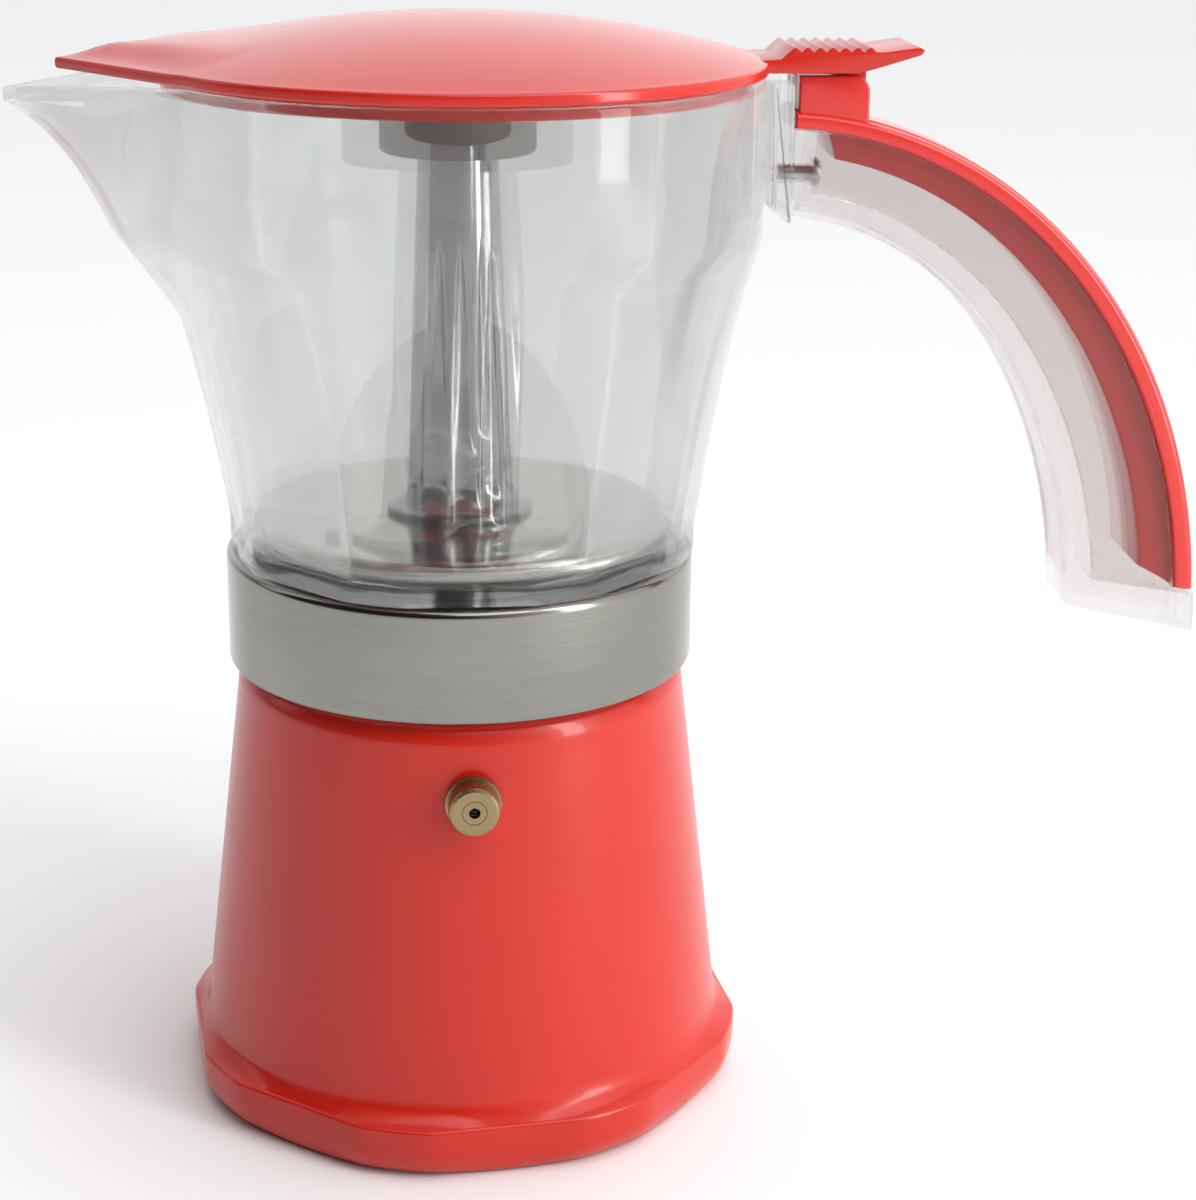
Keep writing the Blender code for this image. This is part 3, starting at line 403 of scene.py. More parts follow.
def ring_rows(radius: Grid, height: Grid, angle: Optional[Grid] = None) -> Grid:
    """Points round Z: (r sin a, -r cos a, z), for a from 0 to a full turn.

    Args:
        radius: Radii, one per row, or one per row and angle.
        height: Heights, shaped like radius.
        angle: Azimuths from -Y towards +X; evenly spaced when left out.

    Returns:
        An array of rows, angles and coordinates.
    """
    turn = azimuths() if angle is None else angle
    radius = np.broadcast_to(radius if radius.ndim == 2 else radius[:, None], (len(radius), len(turn)))
    height = np.broadcast_to(height if height.ndim == 2 else height[:, None], radius.shape)
    return np.stack([radius * np.sin(turn), -radius * np.cos(turn), height], axis=2)


def azimuths(count: int = TURN) -> Grid:
    """Evenly spaced angles of one full turn, in radians."""
    return np.arange(count) * (2 * math.pi / count)


def folded(angle: Grid, sides: int, turn: float = 0.0) -> Grid:
    """Angle from the middle of the nearest of some equal sides, the first turned by an angle."""
    step = 2 * math.pi / sides
    return np.abs((angle - turn + step / 2) % step - step / 2)


def from_spout(angle: Grid) -> Grid:
    """Angle away from -X, where the spout is, from 0 to half a turn."""
    return np.abs((angle + math.pi / 2 + math.pi) % (2 * math.pi) - math.pi)


def skin(name: str, rows: Grid, looped: bool = False, crease: float = 40.0) -> bpy.types.Object:
    """A closed surface over rows of points: neighbours are joined, and open ends are capped.

    The faces are turned outwards by the sign of the enclosed volume, the sum over the
    triangles of a . (b x c) / 6.

    Args:
        name: The object's name.
        rows: Points by row and place in the row; every row is a closed ring.
        looped: Whether the last row joins the first, as on a ring-shaped body.
        crease: Angle in degrees above which an edge is drawn sharp.

    Returns:
        The object, linked to the scene.
    """
    count, across = rows.shape[:2]
    index = np.arange(count * across).reshape(count, across)
    low, high = (index, np.roll(index, -1, 0)) if looped else (index[:-1], index[1:])
    quads = np.stack([low, np.roll(low, -1, 1), np.roll(high, -1, 1), high], axis=2).reshape(-1, 4)
    points = rows.reshape(-1, 3)
    a, b, c, d = (points[quads[:, i]] for i in range(4))
    volume = (a * (np.cross(b, c) + np.cross(c, d))).sum()
    caps = [] if looped else [index[0][::-1], index[-1]]
    for cap in caps:
        ring = points[cap]
        volume += (ring[0] * np.cross(ring[1:-1], ring[2:])).sum()
    faces = quads.tolist() + [cap.tolist() for cap in caps]
    if volume < 0:
        faces = [face[::-1] for face in faces]
    mesh = bpy.data.meshes.new(name)
    mesh.from_pydata(points.tolist(), [], faces)
    mesh.update()
    mesh.shade_smooth()
    mesh.set_sharp_from_angle(angle=math.radians(crease))
    thing = bpy.data.objects.new(name, mesh)
    bpy.context.scene.collection.objects.link(thing)
    return thing


def filleted(corners: Sequence[tuple[float, float, float]], chords: int = 7, looped: bool = True) -> Grid:
    """An outline with rounded corners, in millimetres.

    Each corner P with a fillet f is the parabola (1-t)^2 A + 2t(1-t) P + t^2 B, where A and B
    lie f away from P along its two sides.

    Args:
        corners: First coordinate, second coordinate and fillet of each corner.
        chords: Chords of each fillet.
        looped: Whether the outline closes on itself.

    Returns:
        The outline's points in metres.
    """
    given = np.array(corners, float)
    share = np.linspace(0, 1, chords + 1)[:, None]
    pieces = []
    for i, (x, z, reach) in enumerate(given):
        corner = np.array([x, z])
        if reach <= 0 or (not looped and i in (0, len(given) - 1)):
            pieces.append(corner[None])
            continue
        sides = [given[i - 1, :2] - corner, given[(i + 1) % len(given), :2] - corner]
        ends = [corner + side * min(reach / np.hypot(*side), 0.49) for side in sides]
        pieces.append((1 - share) ** 2 * ends[0] + 2 * share * (1 - share) * corner + share**2 * ends[1])
    return np.concatenate(pieces) * MM


def refined(outline: Grid, longest: float) -> Grid:
    """A looped outline with points added evenly on its long sides.

    Args:
        outline: The outline's points.
        longest: The longest side that is left whole, in metres.

    Returns:
        The outline with its new points.
    """
    after = np.roll(outline, -1, 0)
    parts = np.maximum(1, np.ceil(np.hypot(*(after - outline).T) / longest)).astype(int)
    start = np.repeat(np.arange(len(outline)), parts)
    step = np.arange(parts.sum()) - np.repeat(np.cumsum(parts) - parts, parts)
    share = (step / parts[start])[:, None]
    return outline[start] * (1 - share) + after[start] * share


def turned(
    name: str, corners: Sequence[tuple[float, float, float]], crease: float = 40.0
) -> bpy.types.Object:
    """A ring-shaped body: a looped outline turned round Z.

    Args:
        name: The object's name.
        corners: Radius, height and fillet of each corner, in millimetres.
        crease: Angle in degrees above which an edge is drawn sharp.

    Returns:
        The object.
    """
    outline = filleted(corners)
    return skin(name, ring_rows(outline[:, 0], outline[:, 1]), True, crease)


def slab(name: str, outline: Grid, low: float, high: float, edge: float) -> bpy.types.Object:
    """A flat body: an outline in X and Z carried along Y, with its two rims rounded.

    The row at turn t of a rim stands edge (1 - cos t) inside the outline, along the
    outline's own normals, and edge (1 - sin t) short of the face.

    Args:
        name: The object's name.
        outline: Points in X and Z, in metres.
        low: Lowest Y.
        high: Highest Y.
        edge: Radius of the rims.

    Returns:
        The object.
    """
    along = np.roll(outline, -1, 0) - np.roll(outline, 1, 0)
    normal = np.stack([along[:, 1], -along[:, 0]], 1) / np.maximum(np.hypot(*along.T), 1e-9)[:, None]
    area = (outline[:, 0] * np.roll(outline[:, 1], -1) - np.roll(outline[:, 0], -1) * outline[:, 1]).sum()
    inwards = -normal * np.sign(area)
    turn = np.linspace(0, math.pi / 2, 5)
    inset = np.concatenate([edge * (1 - np.sin(turn)), edge * (1 - np.sin(turn[::-1]))])
    place = np.concatenate([low + edge * (1 - np.cos(turn)), high - edge * (1 - np.cos(turn[::-1]))])
    flat = outline[None] + inwards[None] * inset[:, None, None]
    across = np.broadcast_to(place[:, None], flat.shape[:2])
    return skin(name, np.stack([flat[..., 0], across, flat[..., 1]], 2))


def smooth(share: Grid) -> Grid:
    """The smooth step 3 s^2 - 2 s^3 of a share held between 0 and 1."""
    share = np.clip(share, 0, 1)
    return share * share * (3 - 2 * share)


def dressed(thing: bpy.types.Object, finish: Finish, body: Body, *nodes: str) -> bpy.types.Object:
    """Gives a piece its finish and its body, and lets it stand for CAD nodes.

    Args:
        thing: The piece.
        finish: Its finish.
        body: The body it rides on.
        nodes: The CAD nodes that it replaces.

    Returns:
        The piece.
    """
    thing.data.materials.clear()
    thing.data.materials.append(finish.material())
    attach(thing, body.value)
    if nodes:
        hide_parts(*nodes)
    LOG.info("%s: %d faces, rides on %s", thing.name, len(thing.data.polygons), body.value)
    return thing


def carried(finish: Finish, *nodes: str) -> None:
    """Gives CAD nodes a finish and leaves their shapes alone.

    Args:
        finish: The finish.
        nodes: The nodes' names.
    """
    for node in nodes:
        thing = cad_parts[node]
        for place in thing.material_slots:
            place.material = finish.material()
        if not thing.material_slots:
            thing.data.materials.append(finish.material())
        LOG.info("%s: carried over in %s", node, finish.name)


# ------------------------------------------------------------------ boiler


@dataclass
class Boiler:
    """The red water boiler: a round cone on an eight-sided foot, with a neck for the thread."""

    flat: float = 51.9 * MM
    under: float = 49.3 * MM
    bevel: float = 6.0 * MM
    foot: float = 10.0 * MM
    ledge: float = 2.4 * MM
    turn: float = 6.6
    low: float = 49.8 * MM
    top: float = 41.9 * MM
    top_z: float = 78.5 * MM
    shoulder_z: float = 83.6 * MM
    half_angle: float = 15.0

    def foot_radius(self, angle: Grid, flat: float) -> Grid:
        """Radius of the foot: flat / cos(a) near the middle of each side, constant at its corner.

        Args:
            angle: Azimuths in radians.
            flat: Distance from the axis to the sides.

        Returns:
            The radii.
        """
        off = folded(angle, 8, math.radians(self.turn))
        return flat / np.cos(np.minimum(off, math.radians(self.half_angle)))

    def rows(self) -> Grid:
        """Rows from the underside up the outside, over the neck and down the inside.

        The foot's bevel mixes a circle and the eight-sided outline by sin t while it rises by
        1 - cos t; the ledge mixes them back linearly; everything above is round.

        Returns:
            The rows.
        """
        angle = azimuths()
        eight = self.foot_radius(angle, self.flat)
        bend = np.linspace(0, math.pi / 2, 9)[1:]
        share = np.sin(bend)[:, None]
        bevel = self.under * (1 - share) + eight * share
        bevel_z = self.bevel * (1 - np.cos(bend))
        rim = np.linspace(0, math.pi / 2, 5)
        edge = 0.7 * MM
        side = eight[None] - edge * (1 - np.cos(rim))[:, None]
        side_z = self.foot - edge + edge * np.sin(rim)
        back = np.array([0.55, 0.9, 0.985])[:, None]
        ledge = (eight - edge)[None] * (1 - back) + (self.low + 0.25 * MM) * back
        ledge_z = self.foot + self.ledge * np.array([0.4, 0.72, 0.86])
        cone = np.linspace(0.004, 1, 26)
        cone_r = self.low + (self.top - self.low) * cone
        cone_z = self.foot + self.ledge + (self.top_z - self.foot - self.ledge) * cone
        arc = np.linspace(0, math.pi / 2, 10)[1:]
        arc_r = self.top - 4.0 * MM * (1 - np.cos(arc))
        arc_z = self.top_z + (self.shoulder_z - self.top_z) * np.sin(arc)
        inner = np.array(
            [
                [36.5, 83.6],
                [36.5, 94.0],
                [33.6, 94.0],
                [33.6, 81.0],
                [37.3, 81.0],
                [39.6, 75.9],
                [47.2, 12.4],
                [43.6, 3.6],
            ]
        ) * MM
        plain = np.concatenate([np.stack([cone_r, cone_z], 1), np.stack([arc_r, arc_z], 1), inner])
        wide = np.ones((1, len(angle)))
        first = np.full((1, len(angle)), self.under)
        radius = np.concatenate([first, bevel, side, ledge, plain[:, :1] * wide])
        height = np.concatenate([[0.0], bevel_z, side_z, ledge_z, plain[:, 1]])
        return ring_rows(radius, height[:, None] * wide)

    def build(self) -> None:
        """Builds the shell; the valve's nodes keep their shapes and get metal finishes."""
        dressed(skin("boiler_shell", self.rows(), crease=28), ENAMEL, Body.BOILER, "boiler")
        carried(BRASS, "valve_body", "valve_retainer")
        carried(STEEL, "valve_poppet", "valve_spring", "valve_washer")


@dataclass
class Inside:
    """The parts between boiler and jug that only show when the pot is opened."""

    def build(self) -> None:
        """Dresses the carried funnel, strainer, gasket, filter plate and thread base."""
        carried(FUNNEL_METAL, "funnel", "funnel_strainer", "filter_plate")
        carried(SEAL, "gasket", "upper_seal")
        carried(DARK_SEAL, "lower_seal")
        carried(BASE_METAL, "thread_base")


@dataclass
class Band:
    """The spun steel band round the thread base."""

    radius: float = 43.3
    sheet: float = 0.9
    low: float = 84.1
    high: float = 104.6
    lip: float = 2.6

    def build(self) -> None:
        """Turns the band: a sheet with rounded ends, its top lip folded in over the jug's foot."""
        r, s = self.radius, self.sheet
        thing = turned(
            "steel_band",
            [
                (r, self.low, 0.4),
                (r, self.high, 1.6),
                (r - self.lip, self.high, 0.3),
                (r - self.lip, self.high - s, 0.3),
                (r - s, self.high - s, 1.0),
                (r - s, self.low, 0.3),
            ],
        )
        dressed(thing, BAND_STEEL, Body.COLLECTOR, "band")


# ------------------------------------------------------------------ jug


@dataclass
class Jug:
    """The clear jug: eight-sided at its foot, round at its rim, with a straight-sided spout."""

    low_z: float = 105.0 * MM
    flat: float = 42.4 * MM
    skirt: float = 5.2 * MM
    top: float = 54.6 * MM
    waist_z: float = 163.0 * MM
    rim_z: float = 191.0 * MM
    wall: float = 2.2 * MM
    floor: float = 2.0 * MM
    half_angle: float = 32.0
    reach: float = 24.4 * MM
    beak_z: float = 148.0 * MM
    dip: float = 2.6 * MM
    corner: float = 15.0

    def surface(self, z: Grid, inset: Grid) -> Grid:
        """Rows of the jug's wall at heights z, moved inwards by inset.

        The plain wall is the eight-sided outline mixed towards a circle by the smooth step of
        the height share; the beak stands out over 32 degrees on each side of -X, with straight
        flanks, and its rim dips where it stands out.

        Args:
            z: Heights in metres.
            inset: How far inside the outer wall each row lies.

        Returns:
            The rows.
        """
        angle = azimuths(256)
        above = z - self.low_z - self.skirt
        share = np.clip(above / (self.waist_z - self.low_z - self.skirt), 0, 1)[:, None]
        radius = self.flat + (self.top - self.flat) * (0.62 * share + 0.38 * share**2)
        off = folded(angle, 8)
        eight = radius / np.cos(np.minimum(off, math.radians(self.corner)))
        plain = eight * (1 - smooth(share)) + radius * smooth(share)
        rise = np.clip((z - self.beak_z) / (self.rim_z - self.dip - self.beak_z), 0, None)[:, None]
        out = self.reach * np.minimum(0.72 * rise + 0.28 * rise**6, 1)
        half = math.radians(self.half_angle)
        aside = from_spout(angle)
        tip = plain + out
        flank = tip * plain * math.sin(half) / (
            plain * math.sin(half) * np.cos(aside) + (tip - plain * math.cos(half)) * np.sin(aside)
        )
        wall = np.where(aside < half, flank, plain)
        standing = (wall - plain) / self.reach
        sunk = smooth((z - self.beak_z) / (self.rim_z - self.beak_z))[:, None]
        lowered = z[:, None] - self.dip * standing * sunk
        return ring_rows(wall - inset[:, None], lowered, angle)

    def build(self) -> None:
        """Builds the wall as one closed shell, and the pad that the handle is screwed to."""
        up = np.linspace(0, 1, 44)
        skirt = self.low_z + np.array([0.0, 0.1, 0.3, 0.8, 2.6, 5.0]) * MM
        foot_inset = np.array([0.9, 0.55, 0.2, 0.0, 0.0, 0.0]) * MM
        wall_z = self.low_z + self.skirt + (self.rim_z - self.low_z - self.skirt - 0.8 * MM) * up
        turn = np.linspace(0, math.pi, 9)[1:-1]
        rim_inset = self.wall / 2 * (1 - np.cos(turn))
        rim_z = self.rim_z - 0.8 * MM * (1 - np.sin(turn))
        down = wall_z[::-1]
        inner = np.concatenate([down, self.low_z + np.array([4.6, 3.4, 2.5, self.floor / MM]) * MM])
        rounding = np.array([0, 0.2, 0.8, 2.2]) * MM
        inner_inset = np.concatenate([np.full(len(down), self.wall), self.wall + rounding])
        z = np.concatenate([skirt, wall_z, rim_z, inner])
        inset = np.concatenate([foot_inset, np.zeros(len(wall_z)), rim_inset, inner_inset])
        rows = self.surface(z, inset)
        hole_z = np.array([self.low_z + self.floor, self.low_z])
        hole = ring_rows(np.array([5.9, 5.9]) * MM, hole_z, azimuths(256))
        shell = skin("clear_jug_shell", np.concatenate([rows, hole]), True, 26)
        dressed(shell, CLEAR_JUG, Body.COLLECTOR, "jug")
        side_view = [(55.0, 167.5, 1.0), (54.9, 189.6, 0.6), (59.0, 189.6, 0.8), (59.0, 164.6, 1.0)]
        pad = refined(filleted(side_view), 4 * MM)
        dressed(slab("jug_handle_pad", pad, -9 * MM, 9 * MM, 0.7 * MM), CLEAR_JUG, Body.COLLECTOR)


@dataclass
class Column:
    """The polished plate on the jug's floor and the fluted column that the coffee rises through."""

    plate: float = 38.2
    plate_low: float = 108.5
    plate_high: float = 111.3
    foot: float = 13.5
    low: float = 9.7
    top: float = 6.8
    low_z: float = 111.6
    neck_z: float = 118.0
    top_z: float = 186.0
    flutes: int = 12
    depth: float = 0.95
    flute_top: float = 162.0

    def rows(self) -> Grid:
        """The column's rows: a flared foot, a tapering shaft with flutes, and its bore.

        A flute lies depth (1 - (a / w)^2) below the shaft, where its half width w shrinks with
        the square root of the height that is left, so that it ends in a point.

        Returns:
            The rows.
        """
        angle = azimuths(240)
        share = np.linspace(0, 1, 14)
        foot_r = self.low + (self.foot - self.low) * (1 - np.sqrt(1 - (1 - share) ** 2))
        foot_z = self.low_z + 0.9 + (self.neck_z - self.low_z - 0.9) * share
        shaft_z = np.linspace(self.neck_z, self.top_z - 0.8, 72)[1:]
        lean = (shaft_z - self.neck_z) / (self.top_z - self.neck_z)
        shaft_r = self.low + (self.top - self.low) * lean
        high = self.top_z
        top = self.top
        crown = np.array([[top - 0.05, high - 0.35], [top - 0.3, high - 0.08], [top - 0.8, high]])
        bore = np.array([[3.6, high], [3.4, high - 0.3], [3.4, 101.4], [5.6, 101.4], [5.6, self.low_z]])
        profile = np.concatenate(
            [
                [[self.foot - 0.3, self.low_z], [self.foot, self.low_z + 0.3]],
                np.stack([foot_r, foot_z], 1),
                np.stack([shaft_r, shaft_z], 1),
                crown,
                bore,
            ]
        )
        step = 2 * math.pi / self.flutes
        off = folded(angle, self.flutes)[None]
        height = profile[:, 1:]
        left = np.clip((self.flute_top - height) / 34.0, 0, 1)
        start = smooth((height - self.low_z - 1.6) / 3.2)
        width = np.maximum(np.sqrt(left) * step * 0.46, 1e-4)
        dent = np.clip(1 - (off / width) ** 2, 0, 1) * self.depth * start * np.minimum(left * 6, 1)
        outside = np.arange(len(profile))[:, None] < len(profile) - len(bore)
        radius = profile[:, :1] - np.where(outside, dent, 0)
        return ring_rows(radius * MM, np.broadcast_to(height, radius.shape) * MM, angle)

    def build(self) -> None:
        """Builds the plate and the column."""
        plate = turned(
            "jug_floor_plate",
            [
                (5.9, self.plate_low, 0.1),
                (self.plate, self.plate_low, 0.3),
                (self.plate, self.plate_high, 1.9),
                (5.9, self.plate_high, 0.1),
            ],
        )
        dressed(plate, PLATE_METAL, Body.COLLECTOR, "collector_plate")
        dressed(skin("fluted_column", self.rows(), True, 50), COLUMN_METAL, Body.COLLECTOR, "column")


# ------------------------------------------------------------------ handle


@dataclass
class Handle:
    """The arched handle: a clear channel with a red strip let into its outer side."""

    centre: tuple[float, float] = (56.0 * MM, 88.0 * MM)
    inner: tuple[float, float, float] = (58.5 * MM, 78.0 * MM, 3.0)
    outer: tuple[float, float, float] = (84.0 * MM, 97.0 * MM, -1.0)
    root: float = 59.3 * MM
    half: float = 8.2 * MM
    wall: float = 2.1 * MM
    floor: float = 0.22
    cap: float = 0.83
    tongue: float = 0.58
    stations: int = 120

    def point(self, along: Grid, depth: Grid) -> Grid:
        """Points of the arch's plane: each ellipse is walked from its own first angle to the
        jug's pad, and depth mixes the inner ellipse's point with the outer one's.

        Args:
            along: From 0 at the free end to 1 at the pad.
            depth: From 0 on the inner ellipse to 1 on the outer one.

        Returns:
            X and Z, with the broadcast shape of along and depth.
        """
        ends = []
        for half_x, half_z, first in (self.inner, self.outer):
            start, stop = math.radians(first), math.acos((self.root - self.centre[0]) / half_x)
            angle = start + (stop - start) * along
            x, z = self.centre[0] + half_x * np.cos(angle), self.centre[1] + half_z * np.sin(angle)
            ends.append(np.stack([x, z], -1))
        share = depth[..., None]
        return ends[0] * (1 - share) + ends[1] * share

    def sweep(self, name: str, along: Grid, depth: Grid, across: Grid) -> bpy.types.Object:
        """A closed section carried along the arch.

        Args:
            name: The object's name.
            along: One place per row.
            depth: Depths of the section, by row and point.
            across: Y of the section, by row and point.

        Returns:
            The object.
        """
        flat = self.point(np.broadcast_to(along[:, None], depth.shape), depth)
        return skin(name, np.stack([flat[..., 0], across, flat[..., 1]], 2), crease=30)

    def channel(self) -> bpy.types.Object:
        """The clear channel: a rounded U whose hollow closes near both ends.

        Returns:
            The object.
        """
        w, w_in, top = self.half / MM, self.half / MM - self.wall / MM, self.cap - 0.012
        scale = 26.0
        outline = filleted(
            [
                (0.0, -w, 2.4),
                (0.0, w, 2.4),
                (top * scale, w, 0.3),
                (top * scale, w_in, 0.2),
                (self.floor * scale, w_in, 1.2),
                (self.floor * scale, -w_in, 1.2),
                (top * scale, -w_in, 0.2),
                (top * scale, -w, 0.3),
            ]
        ) / MM
        depth, y = outline[:, 0] / scale, outline[:, 1]
        along = np.linspace(0, 1, self.stations + 1)
        along = np.unique(np.concatenate([along, [0.0445, 0.0455, 0.049, 0.051, 0.9645, 0.9655]]))
        closed = np.clip((np.abs(along - 0.505) - 0.4598) / 0.0006, 0, 1)[:, None]
        in_hollow = (np.abs(y) < w_in + 0.01) & (depth > self.floor - 0.01)
        filled = np.where(in_hollow, depth + (top - 0.004 - depth) * closed, depth)
        foot = np.clip((0.051 - along) / 0.002, 0, 1)[:, None]
        filled = np.where(filled > top - 0.03, filled + (0.985 - top) * foot, filled)
        return self.sweep("handle_clear_channel", along, filled, np.broadcast_to(y * MM, filled.shape))

    def strip(self) -> bpy.types.Object:
        """The red strip: a rounded cap with a stepped back, and a tongue inside the channel.

        Returns:
            The object.
        """
        w, w_t, scale = self.half / MM, self.half / MM - self.wall / MM - 0.3, 26.0
        back, cap, tip = scale, self.cap * scale, self.tongue * scale
        outline = filleted(
            [
                (tip, -w_t, 0.6),
                (tip, w_t, 0.6),
                (cap, w_t, 0.0),
                (cap, w, 0.8),
                (back - 0.7, w, 1.6),
                (back - 0.45, w - 2.4, 0.2),
                (back, w - 2.9, 0.4),
                (back, -w + 2.9, 0.4),
                (back - 0.45, -w + 2.4, 0.2),
                (back - 0.7, -w, 1.6),
                (cap, -w, 0.8),
                (cap, -w_t, 0.0),
            ]
        ) / MM
        depth, y = outline[:, 0] / scale, outline[:, 1]
        along = np.linspace(0.053, 1, self.stations + 1)
        along = np.unique(np.concatenate([along, [0.0555, 0.075, 0.93, 0.95, 0.9975]]))
        gone = 1 - np.clip(np.minimum(along - 0.055, 0.95 - along) / 0.02, 0.04, 1)[:, None]
        raised = np.where(depth < self.cap - 0.001, depth + (self.cap - depth) * gone, depth)
        draw_in = np.clip(np.maximum(0.0555 - along, along - 0.9975) / 0.0025, 0, 1)[:, None]
        across = y * MM * (1 - 0.05 * draw_in * (np.abs(y) > w_t + 0.01))
        return self.sweep("handle_red_strip", along, raised, across)

    def hinge(self) -> bpy.types.Object:
        """The outline of one cheek of the hinge block, round the pin.

        Returns:
            X and Z of the outline, in metres.
        """
        pin, r = (69.9, 188.0), 2.8
        turn = np.linspace(math.pi / 2, 0, 10)
        knuckle = np.stack([pin[0] + r * np.cos(turn), pin[1] + r * np.sin(turn)], 1)
        return np.concatenate([[[60.0, 183.3], [60.0, 190.8]], knuckle, [[72.7, 181.6]]]) * MM

    def build(self) -> None:
        """Builds channel, strip, hinge cheeks and web, and dresses the screw and the pin."""
        dressed(self.channel(), CLEAR_HANDLE, Body.COLLECTOR, "handle_channel")
        dressed(self.strip(), INSERT_RED, Body.COLLECTOR, "handle_insert")
        cheek = refined(self.hinge(), 2 * MM)
        dressed(slab("hinge_cheek_front", cheek, -7 * MM, -3.5 * MM, 0.5 * MM), INSERT_RED, Body.COLLECTOR)
        dressed(slab("hinge_cheek_back", cheek, 3.5 * MM, 7 * MM, 0.5 * MM), INSERT_RED, Body.COLLECTOR)
        side_view = [
            (60.0, 183.3, 0),
            (60.0, 190.5, 0.4),
            (65.3, 190.5, 0.4),
            (65.3, 184.7, 0.3),
            (72.6, 184.7, 0),
            (72.6, 181.6, 0),
        ]
        web = refined(filleted(side_view), 2 * MM)
        dressed(slab("hinge_web", web, -4 * MM, 4 * MM, 0.2 * MM), INSERT_RED, Body.COLLECTOR)
        carried(STEEL, "handle_screw", "hinge_pin")


# ------------------------------------------------------------------ lid


